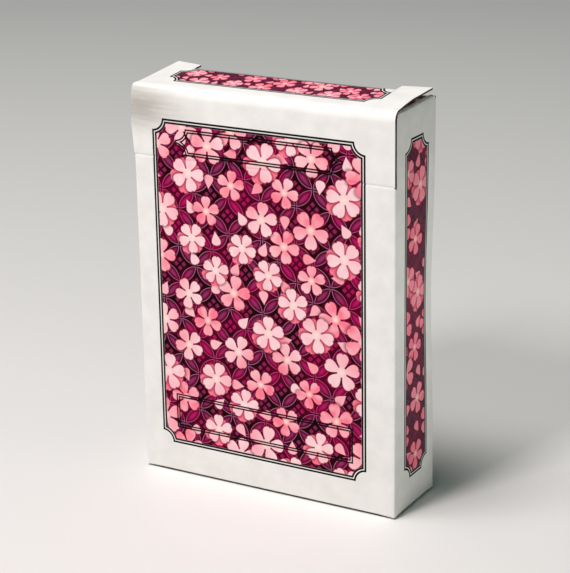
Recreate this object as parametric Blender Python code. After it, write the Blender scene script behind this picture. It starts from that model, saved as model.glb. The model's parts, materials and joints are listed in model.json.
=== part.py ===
"""A deck of poker-size playing cards in its paperboard tuck box, in metres with +Z up.

The origin is the centre of the box's footprint on the surface it stands on. The broad face that
carries the lid's score line looks along -Y, and the tuck flap goes down inside the face at +Y.
"""

import math

import bmesh
import bpy

MM = 0.001

# Cards
SUITS = ("spade", "heart", "club", "diamond")
RANKS = ("ace", "2", "3", "4", "5", "6", "7", "8", "9", "10", "jack", "queen", "king")
JOKERS = ("joker_red", "joker_black")
CARD_WIDTH = 63.0 * MM
CARD_HEIGHT = 88.0 * MM
CARD_THICKNESS = 0.28 * MM
CARD_CORNER_RADIUS = 3.5 * MM
CARD_AIR = 0.02 * MM

# Board and the room that the box leaves around the deck
BOARD = 0.4 * MM
BOTTOM_LAYERS = 2
SIDE_CLEARANCE = 0.6 * MM
FRONT_CLEARANCE = 0.15 * MM
FLOOR_CLEARANCE = 0.05 * MM
HEAD_ROOM = 1.7 * MM
TUCK_SLOT = 2.37 * MM
EDGE_FOLD_RADIUS = 0.7 * MM

# Lid: the strip above the score line and the top panel with its ears
LID_FRONT_HEIGHT = 16.1 * MM
LID_FOLD_RADIUS = 2.5 * MM
LID_CLEARANCE = 0.25 * MM
LID_SPRING = math.radians(5.0)
SLIT = 0.4 * MM
FOLD_GAP = 0.1 * MM
EAR_WIDTH = 6.8 * MM
EAR_BACK_GAP = 0.7 * MM
EAR_SLANT = 1.2 * MM
EAR_CORNER_RADIUS = 1.2 * MM

# Tuck flap
TUCK_FOLD_RADIUS = 3.6 * MM
TUCK_DEPTH = 12.0 * MM
TUCK_BACK_GAP = 1.25 * MM
TUCK_SIDE_GAP = 1.5 * MM
TUCK_CORNER_RADIUS = 6.0 * MM
EAR_SLIT = 0.3 * MM
SHOULDER_RUN = 4.6 * MM

# Dust flaps, with their reach measured inwards from the side's outer face
DUST_REACH = 14.0 * MM
DUST_FOLD_RADIUS = 0.9 * MM
DUST_FRONT_GAP = 1.95 * MM
DUST_BACK_GAP = 0.9 * MM
DUST_NOTCH_REACH = 1.1 * MM
DUST_NOTCH_DEPTH = 3.0 * MM
DUST_STRAIGHT_REACH = 5.0 * MM
DUST_FRONT_TAPER = 4.2 * MM
DUST_BACK_TAPER = 3.2 * MM
DUST_CORNER_RADIUS = 2.5 * MM

# Back panel
BACK_RIM_DROP = 0.35 * MM
NOTCH_RADIUS = 9.5 * MM

# Facets of round stretches
CORNER_SEGMENTS = 4
BEND_SEGMENTS = 8
EDGE_SEGMENTS = 3
NOTCH_SEGMENTS = 48

# Sizes that follow from those above
CARD_NAMES = [f"card_{suit}_{rank}" for suit in SUITS for rank in RANKS]
CARD_NAMES += [f"card_{joker}" for joker in JOKERS]
CARD_PITCH = CARD_THICKNESS + CARD_AIR
DECK_THICKNESS = len(CARD_NAMES) * CARD_PITCH - CARD_AIR
BOX_WIDTH = CARD_WIDTH + 2 * (SIDE_CLEARANCE + BOARD)
BOX_DEPTH = DECK_THICKNESS + FRONT_CLEARANCE + TUCK_SLOT + 2 * BOARD
SIDE = BOX_WIDTH / 2
FRONT = -BOX_DEPTH / 2
BACK = BOX_DEPTH / 2
BOTTOM = BOTTOM_LAYERS * BOARD
DECK_FLOOR = BOTTOM + FLOOR_CLEARANCE
RIM = DECK_FLOOR + CARD_HEIGHT + HEAD_ROOM + BOARD
LID_HEIGHT = RIM + LID_CLEARANCE + BOARD
SCORE_HEIGHT = LID_HEIGHT - LID_FRONT_HEIGHT
LID_HALF_WIDTH = SIDE - SLIT
EAR_INNER = LID_HALF_WIDTH - EAR_WIDTH

BOARD_COLOUR = (0.86, 0.85, 0.82, 1.0)
CARD_COLOUR = (0.93, 0.92, 0.89, 1.0)


class Section:
    """Line of a panel's outer face across its fold: a round bend, then a flat.

    The line starts with the given heading, and the bend turns clockwise, to the board's inner side.
    """

    def __init__(self, start, heading, radius=0.0, turn=0.0):
        self.start = start
        self.heading = heading
        self.radius = radius
        self.turn = turn
        self.bend_run = radius * turn

    def at(self, run, depth=0.0):
        """Point at a run along the outer face, a depth of board below it."""
        turned = min(run / self.radius, self.turn) if self.radius else 0.0
        centre = offset(self.start, inward(self.heading), self.radius)
        heading = self.heading - turned
        point = offset(centre, inward(heading), depth - self.radius)
        return offset(point, forward(heading), max(run - self.bend_run, 0.0))

    def bend_lines(self):
        """Runs at which the flat blank is creased to follow the bend."""
        return [self.bend_run * step / BEND_SEGMENTS for step in range(1, BEND_SEGMENTS + 1)]


def forward(heading):
    return math.cos(heading), math.sin(heading)


def inward(heading):
    return math.sin(heading), -math.cos(heading)


def offset(point, direction, distance):
    return point[0] + direction[0] * distance, point[1] + direction[1] * distance


def clear_scene():
    for old in list(bpy.data.objects):
        bpy.data.objects.remove(old, do_unlink=True)


def paper(name, colour, roughness):
    material = bpy.data.materials.new(name)
    material.use_nodes = True
    shader = material.node_tree.nodes["Principled BSDF"]
    shader.inputs["Base Color"].default_value = colour
    shader.inputs["Roughness"].default_value = roughness
    shader.inputs["Metallic"].default_value = 0.0
    material.diffuse_color = colour
    return material


def empty(name, location):
    holder = bpy.data.objects.new(name, None)
    holder.location = location
    bpy.context.scene.collection.objects.link(holder)
    return holder


def add_object(name, mesh, material=None):
    """Turn a bmesh into a linked object."""
    data = bpy.data.meshes.new(name)
    bmesh.ops.recalc_face_normals(mesh, faces=mesh.faces)
    mesh.to_mesh(data)
    mesh.free()
    if material:
        data.materials.append(material)
    piece = bpy.data.objects.new(name, data)
    bpy.context.scene.collection.objects.link(piece)
    return piece


def block(name, low, high, edge_radius=0.0):
    """Box between two corners, with its upright edges rounded."""
    mesh = bmesh.new()
    bmesh.ops.create_cube(mesh, size=1.0)
    for vertex in mesh.verts:
        vertex.co = [a + (b - a) * (c + 0.5) for a, b, c in zip(low, high, vertex.co)]
    if edge_radius:
        upright = [e for e in mesh.edges if abs(e.verts[0].co.z - e.verts[1].co.z) > BOARD]
        bmesh.ops.bevel(
            mesh,
            geom=upright,
            offset=edge_radius,
            offset_type="OFFSET",
            affect="EDGES",
            segments=EDGE_SEGMENTS,
            profile=0.5,
            material=-1,
        )
    return add_object(name, mesh)


def cut(piece, cutter):
    """Take a cutter out of a piece, and keep the cutter as a wire guide."""
    cutter.hide_render = True
    cutter.display_type = "WIRE"
    modifier = piece.modifiers.new(cutter.name, "BOOLEAN")
    modifier.operation = "DIFFERENCE"
    modifier.object = cutter


def blank(outline, round_corners, corner_radius):
    """Flat die-cut face, with the corners at the given places in the outline rounded."""
    mesh = bmesh.new()
    corners = [mesh.verts.new((across, run, 0.0)) for across, run in outline]
    mesh.faces.new(corners)
    if round_corners:
        bmesh.ops.bevel(
            mesh,
            geom=[corners[place] for place in round_corners],
            offset=corner_radius,
            offset_type="OFFSET",
            affect="VERTICES",
            segments=CORNER_SEGMENTS,
            profile=0.5,
            material=-1,
        )
    return mesh


def bent_panel(name, mesh, section, place, hinge, material, holder):
    """Fold a flat blank along a section and give it the board's thickness.

    place turns a distance along the fold and a section point into a point of the box. The finished
    piece has its origin at the hinge, and hangs on its holder.
    """
    for run in section.bend_lines() if section.radius else []:
        everything = mesh.verts[:] + mesh.edges[:] + mesh.faces[:]
        bmesh.ops.bisect_plane(mesh, geom=everything, plane_co=(0.0, run, 0.0), plane_no=(0.0, 1.0, 0.0))
    outer = list(mesh.verts)
    grown = bmesh.ops.extrude_face_region(mesh, geom=mesh.faces[:])["geom"]
    inner = [item for item in grown if isinstance(item, bmesh.types.BMVert)]
    for vertices, depth in ((outer, 0.0), (inner, BOARD)):
        for vertex in vertices:
            spot = place(vertex.co.x, section.at(vertex.co.y, depth))
            vertex.co = [spot[axis] - hinge[axis] for axis in range(3)]
    piece = add_object(name, mesh, material)
    piece.parent = holder
    base = holder.matrix_world.translation
    piece.location = [hinge[axis] - base[axis] for axis in range(3)]
    bpy.context.view_layer.update()
    return piece


def lid_place(across, point):
    return across, point[0], point[1]


def right_place(along, point):
    return SIDE - point[0], along, point[1]


def left_place(along, point):
    return point[0] - SIDE, along, point[1]


def make_tuck_box(board):
    """Folded and glued sheet: lower front, sides, back with its thumb notch, and bottom."""
    side_top = RIM - DUST_FOLD_RADIUS - FOLD_GAP / 2
    back_top = RIM - BACK_RIM_DROP
    opening_front = FRONT + BOARD + SLIT
    box = block("tuck_box", (-SIDE, FRONT, 0.0), (SIDE, BACK, back_top), EDGE_FOLD_RADIUS)
    box.data.materials.append(board)
    inner_low = (BOARD - SIDE, FRONT + BOARD, BOTTOM)
    inner_high = (SIDE - BOARD, BACK - BOARD, LID_HEIGHT)
    cut(box, block("cut_inside", inner_low, inner_high, EDGE_FOLD_RADIUS - BOARD))
    lid_low = (-BOX_WIDTH, FRONT - BOX_DEPTH, SCORE_HEIGHT - FOLD_GAP / 2)
    cut(box, block("cut_lid_front", lid_low, (BOX_WIDTH, opening_front, LID_HEIGHT)))
    side_back = BACK - DUST_BACK_GAP
    cut(box, block("cut_side_rims", (-BOX_WIDTH, FRONT - BOX_DEPTH, side_top), (BOX_WIDTH, side_back, LID_HEIGHT)))
    mesh = bmesh.new()
    bmesh.ops.create_cone(
        mesh,
        cap_ends=True,
        segments=NOTCH_SEGMENTS,
        radius1=NOTCH_RADIUS,
        radius2=NOTCH_RADIUS,
        depth=BOX_DEPTH,
    )
    notch = add_object("cut_thumb_notch", mesh)
    notch.rotation_euler = (math.pi / 2, 0.0, 0.0)
    notch.location = (0.0, BACK, back_top)
    cut(box, notch)
    return box


def lid_section():
    """Round front fold and top panel, which stays sprung up at its rear."""
    start = (FRONT, LID_HEIGHT - LID_FOLD_RADIUS)
    return Section(start, math.pi / 2, LID_FOLD_RADIUS, math.pi / 2 - LID_SPRING)


def lid_run_at(depth):
    """Run along the lid's outer face where its flat reaches a depth in Y."""
    section = lid_section()
    flat_start = section.at(section.bend_run)[0]
    return section.bend_run + (depth - flat_start) / math.cos(LID_SPRING)


def tuck_bend_run():
    """Run along the lid where the tuck flap's bend starts, so that the flap hangs in its slot."""
    flap_face = BACK - BOARD - TUCK_BACK_GAP
    return lid_run_at(flap_face - TUCK_FOLD_RADIUS * (1 + math.sin(LID_SPRING)))


def make_lid_front(board, box):
    """Strip of the front panel between the score line and the top fold."""
    height = LID_FRONT_HEIGHT - LID_FOLD_RADIUS - FOLD_GAP / 2
    half = LID_HALF_WIDTH
    outline = [(-half, FOLD_GAP / 2), (half, FOLD_GAP / 2), (half, height), (-half, height)]
    section = Section((FRONT, SCORE_HEIGHT), math.pi / 2)
    hinge = (0.0, FRONT, SCORE_HEIGHT)
    return bent_panel("lid_front", blank(outline, (), 0.0), section, lid_place, hinge, board, box)


def make_lid_top(board, lid_front):
    """Top panel with its front fold, and an ear at each end of its rear edge."""
    section = lid_section()
    half = LID_HALF_WIDTH
    rear = tuck_bend_run() - FOLD_GAP / 2
    ear_tip = lid_run_at(BACK - EAR_BACK_GAP)
    ear_root = ear_tip - EAR_SLANT
    outline = [
        (-half, FOLD_GAP / 2),
        (half, FOLD_GAP / 2),
        (half, ear_tip),
        (EAR_INNER, ear_root),
        (EAR_INNER, rear),
        (-EAR_INNER, rear),
        (-EAR_INNER, ear_root),
        (-half, ear_tip),
    ]
    mesh = blank(outline, (2, 7), EAR_CORNER_RADIUS)
    hinge = (0.0, *section.start)
    return bent_panel("lid_top", mesh, section, lid_place, hinge, board, lid_front)


def make_tuck_flap(board, lid_top):
    """Flap with its round fold, which widens into shoulders below the ears."""
    start = lid_section().at(tuck_bend_run())
    section = Section(start, LID_SPRING, TUCK_FOLD_RADIUS, math.pi / 2 + LID_SPRING)
    tip = section.bend_run + TUCK_DEPTH - TUCK_FOLD_RADIUS * math.cos(LID_SPRING)
    neck = EAR_INNER - EAR_SLIT
    half = SIDE - TUCK_SIDE_GAP
    outline = [
        (-neck, FOLD_GAP / 2),
        (neck, FOLD_GAP / 2),
        (neck, SHOULDER_RUN),
        (half, SHOULDER_RUN),
        (half, tip),
        (-half, tip),
        (-half, SHOULDER_RUN),
        (-neck, SHOULDER_RUN),
    ]
    mesh = blank(outline, (4, 5), TUCK_CORNER_RADIUS)
    return bent_panel("tuck_flap", mesh, section, lid_place, (0.0, *start), board, lid_top)


def make_dust_flap(name, place, hinge_x, board, box):
    """Flap on the top of a side, folded in under the lid, with a notch for the tuck flap's shoulder."""
    section = Section((0.0, RIM - DUST_FOLD_RADIUS), math.pi / 2, DUST_FOLD_RADIUS, math.pi / 2)
    front = FRONT + DUST_FRONT_GAP
    back = BACK - DUST_BACK_GAP - FOLD_GAP
    notch = back - DUST_NOTCH_DEPTH
    reach_to_run = section.bend_run - DUST_FOLD_RADIUS
    outline = [
        (front, FOLD_GAP / 2),
        (back, FOLD_GAP / 2),
        (back, DUST_NOTCH_REACH + reach_to_run),
        (notch, DUST_NOTCH_REACH + reach_to_run),
        (notch - DUST_BACK_TAPER, DUST_REACH + reach_to_run),
        (front + DUST_FRONT_TAPER, DUST_REACH + reach_to_run),
        (front, DUST_STRAIGHT_REACH + reach_to_run),
    ]
    mesh = blank(outline, (4, 5), DUST_CORNER_RADIUS)
    hinge = (hinge_x, 0.0, section.start[1])
    return bent_panel(name, mesh, section, place, hinge, board, box)


def make_card_mesh(stock):
    """One card standing on its short edge, its thickness along +Y."""
    mesh = bmesh.new()
    half = CARD_WIDTH / 2
    corners = ((-half, 0.0), (half, 0.0), (half, CARD_HEIGHT), (-half, CARD_HEIGHT))
    vertices = [mesh.verts.new((x, 0.0, z)) for x, z in corners]
    mesh.faces.new(vertices)
    bmesh.ops.bevel(
        mesh,
        geom=vertices,
        offset=CARD_CORNER_RADIUS,
        offset_type="OFFSET",
        affect="VERTICES",
        segments=CORNER_SEGMENTS,
        profile=0.5,
        material=-1,
    )
    grown = bmesh.ops.extrude_face_region(mesh, geom=mesh.faces[:])["geom"]
    lifted = [item for item in grown if isinstance(item, bmesh.types.BMVert)]
    bmesh.ops.translate(mesh, verts=lifted, vec=(0.0, CARD_THICKNESS, 0.0))
    bmesh.ops.recalc_face_normals(mesh, faces=mesh.faces)
    data = bpy.data.meshes.new("card")
    mesh.to_mesh(data)
    mesh.free()
    data.materials.append(stock)
    return data


def make_deck(stock):
    """All cards in a stack, from the front panel to the back."""
    deck = empty("deck", (0.0, FRONT + BOARD + FRONT_CLEARANCE, DECK_FLOOR))
    data = make_card_mesh(stock)
    for place, name in enumerate(CARD_NAMES):
        card = bpy.data.objects.new(name, data)
        card.parent = deck
        card.location = (0.0, place * CARD_PITCH, 0.0)
        bpy.context.scene.collection.objects.link(card)


def main():
    clear_scene()
    printed_board = paper("printed_board", BOARD_COLOUR, 0.45)
    card_stock = paper("card_stock", CARD_COLOUR, 0.38)
    box = make_tuck_box(printed_board)
    lid_front = make_lid_front(printed_board, box)
    lid_top = make_lid_top(printed_board, lid_front)
    make_tuck_flap(printed_board, lid_top)
    make_dust_flap("dust_flap_left", left_place, -SIDE, printed_board, box)
    make_dust_flap("dust_flap_right", right_place, SIDE, printed_board, box)
    make_deck(card_stock)


main()
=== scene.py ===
"""Dressed model of a playing card deck in its paperboard tuck box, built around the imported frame.

The board is modelled as a carton maker cuts it: each piece is a flat blank that is creased, folded
along a track and given the board's thickness. Each piece of board stores where its surface rests, and
the node materials of the board and its print read that place. So a pattern runs on across the pieces of
one panel and stays on a piece that bends. The cards are stiff and their material reads Object coordinates.
"""

import json
import logging
import math
from dataclasses import dataclass
from enum import Enum
from typing import Callable, Mapping, Optional, Sequence, Union

import bmesh
import bpy
from mathutils import Matrix, Vector


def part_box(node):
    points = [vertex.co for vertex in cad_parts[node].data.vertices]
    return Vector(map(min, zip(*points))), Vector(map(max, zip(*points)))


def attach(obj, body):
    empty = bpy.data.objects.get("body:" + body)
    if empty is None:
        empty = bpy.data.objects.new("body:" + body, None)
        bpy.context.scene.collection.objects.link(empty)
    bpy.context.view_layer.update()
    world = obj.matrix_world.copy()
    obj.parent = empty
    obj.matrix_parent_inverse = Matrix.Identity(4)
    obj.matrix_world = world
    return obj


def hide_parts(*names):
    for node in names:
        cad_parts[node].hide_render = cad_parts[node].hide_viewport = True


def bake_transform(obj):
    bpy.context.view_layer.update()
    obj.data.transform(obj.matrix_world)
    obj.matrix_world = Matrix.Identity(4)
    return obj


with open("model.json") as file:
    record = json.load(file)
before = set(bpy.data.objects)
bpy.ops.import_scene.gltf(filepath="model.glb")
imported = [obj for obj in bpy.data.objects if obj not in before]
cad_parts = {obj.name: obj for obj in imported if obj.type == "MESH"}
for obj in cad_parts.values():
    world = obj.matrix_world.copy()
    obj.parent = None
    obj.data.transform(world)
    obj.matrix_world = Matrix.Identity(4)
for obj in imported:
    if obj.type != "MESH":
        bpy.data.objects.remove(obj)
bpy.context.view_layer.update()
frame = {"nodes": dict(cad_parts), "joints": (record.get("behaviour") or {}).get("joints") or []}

log = logging.getLogger("tuck_box")

MM = 0.001
REST_PLACE = "rest_place"

Point = tuple[float, float]
Place = tuple[float, float, float]
Fold = Callable[[float, float, float], Place]
Socket = bpy.types.NodeSocket
Value = Union[float, Socket]
Feeds = Mapping[Union[int, str], object]
Colour = tuple[float, float, float, float]


def ink(red: int, green: int, blue: int) -> Colour:
    """Turn a display colour, 0 to 255, into the linear colour that a shader takes.

    Args:
        red: Red of the display colour.
        green: Green of the display colour.
        blue: Blue of the display colour.

    Returns:
        The linear colour with full alpha.
    """
    linear = []
    for part in (red, green, blue):
        share = part / 255
        linear.append(share / 12.92 if share <= 0.04045 else ((share + 0.055) / 1.055) ** 2.4)
    return (linear[0], linear[1], linear[2], 1.0)


@dataclass(frozen=True)
class Carton:
    """Main places of the box, read from the frame, in metres."""

    side: float
    front: float
    back: float
    score: float
    lid_fold: float
    rim: float
    back_top: float
    dust_hinge: float
    tuck_y: float
    tuck_z: float
    lid_half: float
    flap_half: float
    flap_tip: float
    ear_tip: float
    dust_tip: float
    board: float = 0.4 * MM
    edge_fold: float = 0.45 * MM
    lid_radius: float = 2.5 * MM
    tuck_radius: float = 3.6 * MM
    slit: float = 0.2 * MM

    @classmethod
    def from_frame(cls) -> "Carton":
        """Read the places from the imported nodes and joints.

        Returns:
            The sizes of the box.
        """
        low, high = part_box("tuck_box")
        _, lid_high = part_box("lid_top")
        flap_low, flap_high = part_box("tuck_flap")
        dust_low, dust_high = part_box("dust_flap_right")
        hinges = {joint["name"]: joint.get("pos_m") for joint in frame["joints"]}
        return cls(
            side=high[0],
            front=low[1],
            back=high[1],
            score=hinges["score_hinge"][2],
            lid_fold=hinges["lid_hinge"][2],
            rim=dust_high[2],
            back_top=high[2],
            dust_hinge=hinges["right_dust_hinge"][2],
            tuck_y=hinges["tuck_hinge"][1],
            tuck_z=hinges["tuck_hinge"][2],
            lid_half=lid_high[0],
            flap_half=flap_high[0],
            flap_tip=flap_low[2],
            ear_tip=lid_high[1],
            dust_tip=dust_low[0],
        )

    @property
    def lid_spring(self) -> float:
        """Angle at which the closed lid stands up towards its rear.

        Returns:
            The angle in radians.
        """
        flat = self.tuck_y - self.front - self.lid_radius
        rise = self.tuck_z - self.lid_fold - self.lid_radius
        return math.atan2(rise, flat)


@dataclass(frozen=True)
class Stretch:
    """Part of a track: a straight, or a round fold that turns by an angle, left turns positive."""

    length: float
    turn: float = 0.0

    @classmethod
    def fold(cls, radius: float, turn: float) -> "Stretch":
        """Make a round fold from its radius and its turn."""
        return cls(radius * abs(turn), turn)


@dataclass(frozen=True)
class Track:
    """Line that a board's outer face follows across its folds.

    The inner side is 1 where the board's inner face lies to the left of the track, and -1 to the right.
    """

    start: Point
    heading: float
    stretches: tuple[Stretch, ...]
    inner_side: float

    def at(self, run: float, depth: float = 0.0) -> Point:
        """Find a point of the board.

        Args:
            run: Distance along the outer face.
            depth: Distance from the outer face into the board.

        Returns:
            The point in the track's plane.
        """
        x, y = self.start
        heading = self.heading
        left = run
        for place, stretch in enumerate(self.stretches):
            last = place == len(self.stretches) - 1
            step = left if last else min(left, stretch.length)
            if stretch.turn:
                radius = stretch.length / stretch.turn
                x -= math.sin(heading) * radius
                y += math.cos(heading) * radius
                heading += step / radius
                x += math.sin(heading) * radius
                y -= math.cos(heading) * radius
            else:
                x += math.cos(heading) * step
                y += math.sin(heading) * step
            left -= step
            if left <= 0:
                break
        shift = depth * self.inner_side
        return x - math.sin(heading) * shift, y + math.cos(heading) * shift

    def marks(self) -> list[float]:
        """List the runs at which the stretches start, and the end of the last one.

        Returns:
            The runs in order.
        """
        runs = [0.0]
        for stretch in self.stretches:
            runs.append(runs[-1] + stretch.length)
        return runs

    def creases(self, steps: int) -> list[float]:
        """List the runs where a blank is creased to follow the folds.

        Args:
            steps: Number of steps in each fold.

        Returns:
            The runs in order.
        """
        marks = self.marks()
        runs = []
        for begin, stretch in zip(marks, self.stretches):
            if stretch.turn:
                runs += [begin + stretch.length * step / steps for step in range(steps + 1)]
        return runs


@dataclass(frozen=True)
class Board:
    """Die-cut blanks that are folded and given thickness, all sprung by the same small bow."""

    carton: Carton
    fold_steps: int = 6
    corner_steps: int = 6
    cut_snap: float = 1e-7
    pitch: float = 4.0 * MM
    sharp_angle: float = math.radians(38)
    bow_right: float = 0.8 * MM
    bow_left: float = 0.35 * MM
    bow_height: float = 47.0 * MM
    bow_spread: float = 20.0 * MM
    bow_power: int = 3
    front_fade: int = 4
    bulge: float = 0.75 * MM
    bulge_height: float = 84.5 * MM
    bulge_spread: float = 6.5 * MM
    bulge_power: int = 8
    sharp_power: float = 5.0
    sharp_reach: int = 6
    groove: float = 0.1 * MM
    groove_spread: float = 0.22 * MM
    groove_steps: tuple[float, ...] = (0.5, 1.0, 1.5, 2.5)

    def sprung(self, x: float, y: float, z: float) -> Vector:
        """Move a point of the flat-sided box to where the sprung board has it.

        Args:
            x: Place across the box.
            y: Place from front to back.
            z: Height.

        Returns:
            The moved point.
        """
        carton = self.carton
        depth_share = (y - carton.front) / (carton.back - carton.front)
        rise = (z - self.bow_height) / self.bow_spread
        arch = math.exp(-rise * rise) * max(0.0, depth_share) ** 2
        across = x / carton.side
        bow = self.bow_right if x > 0 else self.bow_left
        x -= bow * arch * across**self.bow_power
        nearness = max(0.0, 1.0 - depth_share * self.front_fade)
        if across < 0:
            rise = (z - self.bulge_height) / self.bulge_spread
            x -= self.bulge * math.exp(-rise * rise) * nearness * across**self.bulge_power
            y, z = self.sharper_fold(y, z, across**self.sharp_reach)
        rise = (z - carton.score) / self.groove_spread
        y += self.groove * math.exp(-rise * rise) * nearness
        return Vector((x, y, z))

    def sharper_fold(self, y: float, z: float, share: float) -> Point:
        """Make the lid's round front fold sharper.

        Args:
            y: Place from front to back.
            z: Height.
            share: Share of the change, from 0 to 1.

        Returns:
            The moved place and height.
        """
        middle_y = self.carton.front + self.carton.lid_radius
        forward = middle_y - y
        upward = z - self.carton.lid_fold
        if forward <= 0 or upward <= 0:
            return y, z
        far = math.hypot(forward, upward)
        bulk = (forward / far) ** self.sharp_power + (upward / far) ** self.sharp_power
        scale = 1.0 + share * (bulk ** (-1.0 / self.sharp_power) - 1.0)
        return middle_y - forward * scale, self.carton.lid_fold + upward * scale

    def groove_rows(self) -> list[float]:
        """List the distances from the score line where a blank is cut to take its groove."""
        return [self.groove_spread * step for step in self.groove_steps]

    def make(
        self,
        name: str,
        outline: Sequence[Point],
        fold: Fold,
        cuts_across: Sequence[float],
        cuts_along: Sequence[float],
        print_slot: Callable[[float, float], int],
        materials: Sequence[bpy.types.Material],
        round_corners: Sequence[tuple[int, float]] = (),
    ) -> bpy.types.Object:
        """Cut, crease and fold one piece of board.

        Args:
            name: Name of the piece.
            outline: Corners of the flat blank, as places across and along it.
            fold: Turns a place across, a place along and a depth into a point of the box.
            cuts_across: Places across the blank where it is creased.
            cuts_along: Places along the blank where it is creased.
            print_slot: Gives the material slot for the outer face at a place of the blank.
            materials: Materials of the outer face in the order of their slots, then the inside and the edge.
            round_corners: Corners of the outline that are rounded, with their radii.

        Returns:
            The finished piece.
        """
        mesh = bmesh.new()
        rest = mesh.verts.layers.float_vector.new(REST_PLACE)
        corners = [mesh.verts.new((across, along, 0.0)) for across, along in outline]
        mesh.faces.new(corners)
        for corner, radius in round_corners:
            bmesh.ops.bevel(
                mesh,
                geom=[corners[corner]],
                offset=radius,
                offset_type="OFFSET",
                affect="VERTICES",
                segments=self.corner_steps,
                profile=0.5,
                material=-1,
            )
        self.crease(mesh, (1.0, 0.0, 0.0), cuts_across)
        self.crease(mesh, (0.0, 1.0, 0.0), cuts_along)
        outer_faces = set(mesh.faces)
        outer = list(mesh.verts)
        grown = bmesh.ops.extrude_face_region(mesh, geom=mesh.faces[:])["geom"]
        inner = [item for item in grown if isinstance(item, bmesh.types.BMVert)]
        inner_faces = {item for item in grown if isinstance(item, bmesh.types.BMFace)}
        inside_slot = len(materials) - 2
        edge_slot = len(materials) - 1
        for face in mesh.faces:
            if face in outer_faces:
                middle = face.calc_center_median()
                face.material_index = print_slot(middle.x, middle.y)
            else:
                face.material_index = inside_slot if face in inner_faces else edge_slot
            face.smooth = True
        for vertices, depth in ((outer, 0.0), (inner, self.carton.board)):
            for vertex in vertices:
                vertex.co = self.sprung(*fold(vertex.co.x, vertex.co.y, depth))
                vertex[rest] = vertex.co
        bmesh.ops.recalc_face_normals(mesh, faces=mesh.faces)
        data = bpy.data.meshes.new(name)
        mesh.to_mesh(data)
        mesh.free()
        data.set_sharp_from_angle(angle=self.sharp_angle)
        for material in materials:
            data.materials.append(material)
        piece = bpy.data.objects.new(name, data)
        bpy.context.scene.collection.objects.link(piece)
        return piece

    def crease(self, mesh: bmesh.types.BMesh, normal: Place, cuts: Sequence[float]) -> None:
        """Cut a flat blank along its creases.

        Args:
            mesh: The blank.
            normal: Direction across the creases.
            cuts: Places of the creases in that direction.
        """
        for cut in cuts:
            everything = mesh.verts[:] + mesh.edges[:] + mesh.faces[:]
            spot = Vector(normal) * cut
            bmesh.ops.bisect_plane(mesh, geom=everything, dist=self.cut_snap, plane_co=spot, plane_no=normal)

    def grid(self, low: float, high: float) -> list[float]:
        """List evenly spaced places between two ends."""
        count = max(1, round((high - low) / self.pitch))
        return [low + (high - low) * step / count for step in range(1, count)]


class Graph:
    """Short way to add nodes to a node tree."""

    def __init__(self, tree: bpy.types.NodeTree) -> None:
        """Keep the tree that the nodes go into."""
        self.tree = tree

    def node(self, kind: str, feeds: Optional[Feeds] = None, **settings: object) -> bpy.types.Node:
        """Add a node, set its own properties and feed its inputs.

        Args:
            kind: Type of the node.
            feeds: Sockets or constants for its inputs, by name or number.
            settings: Properties by name.

        Returns:
            The node.
        """
        made = self.tree.nodes.new(kind)
        for key, setting in settings.items():
            setattr(made, key, setting)
        for key, value in (feeds or {}).items():
            self.feed(made.inputs[key], value)
        return made

    def feed(self, target: Socket, value: object) -> None:
        """Link a socket into an input, or set the input to a constant.

        Args:
            target: Input to feed.
            value: Socket or constant.
        """
        if isinstance(value, bpy.types.NodeSocket):
            self.tree.links.new(value, target)
        else:
            target.default_value = value

    def math(self, operation: str, *values: Value) -> Socket:
        """Add a Math node and give back its result."""
        return self.node("ShaderNodeMath", dict(enumerate(values)), operation=operation).outputs[0]

    def vector(self, operation: str, *values: object) -> Socket:
        """Add a Vector Math node and give back its vector, or its value for a length."""
        made = self.node("ShaderNodeVectorMath", dict(enumerate(values)), operation=operation)
        return made.outputs["Value" if operation == "LENGTH" else "Vector"]

    def split(self, vector: Socket) -> tuple[Socket, Socket, Socket]:
        """Separate a vector into its parts."""
        parts = self.node("ShaderNodeSeparateXYZ", {0: vector}).outputs
        return parts[0], parts[1], parts[2]

    def join(self, x: Value, y: Value, z: Value = 0.0) -> Socket:
        """Combine three values into a vector."""
        return self.node("ShaderNodeCombineXYZ", {0: x, 1: y, 2: z}).outputs[0]

    def ramp(self, value: Value, low: float, high: float, start: float = 0.0, end: float = 1.0) -> Socket:
        """Map a value smoothly from one range onto another."""
        feeds = dict(enumerate((value, low, high, start, end)))
        return self.node("ShaderNodeMapRange", feeds, interpolation_type="SMOOTHSTEP").outputs[0]

    def inside(self, distance: Value, edge: float, soft: float) -> Socket:
        """Mask where a distance is under an edge, with a soft border."""
        return self.ramp(distance, edge - soft, edge + soft, 1.0, 0.0)

    def band(self, distance: Value, low: float, high: float, soft: float) -> Socket:
        """Mask where a distance lies between two edges."""
        over = self.ramp(distance, low - soft, low + soft)
        return self.math("MULTIPLY", over, self.inside(distance, high, soft))

    def blend(self, share: Value, first: object, second: object) -> Socket:
        """Mix two colours."""
        feeds = {"Factor": share, 6: first, 7: second}
        return self.node("ShaderNodeMix", feeds, data_type="RGBA").outputs[2]

    def noise(self, vector: Socket, scale: float, detail: float) -> Socket:
        """Add a noise texture and give back its value."""
        feeds = {"Vector": vector, "Scale": scale, "Detail": detail}
        return self.node("ShaderNodeTexNoise", feeds).outputs["Fac"]

    def length(self, x: Value, y: Value) -> Socket:
        """Measure a flat vector."""
        return self.vector("LENGTH", self.join(x, y))

    def turned(self, vector: Socket, angle: Value) -> Socket:
        """Turn a vector in its own plane."""
        feeds = {"Vector": vector, "Angle": angle}
        return self.node("ShaderNodeVectorRotate", feeds, rotation_type="Z_AXIS").outputs[0]

    def group(self, tree: bpy.types.NodeTree, **inputs: object) -> bpy.types.Node:
        """Place a node group and feed its inputs by name, with _ for a space."""
        feeds = {key.replace("_", " "): value for key, value in inputs.items()}
        return self.node("ShaderNodeGroup", feeds, node_tree=tree)


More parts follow.
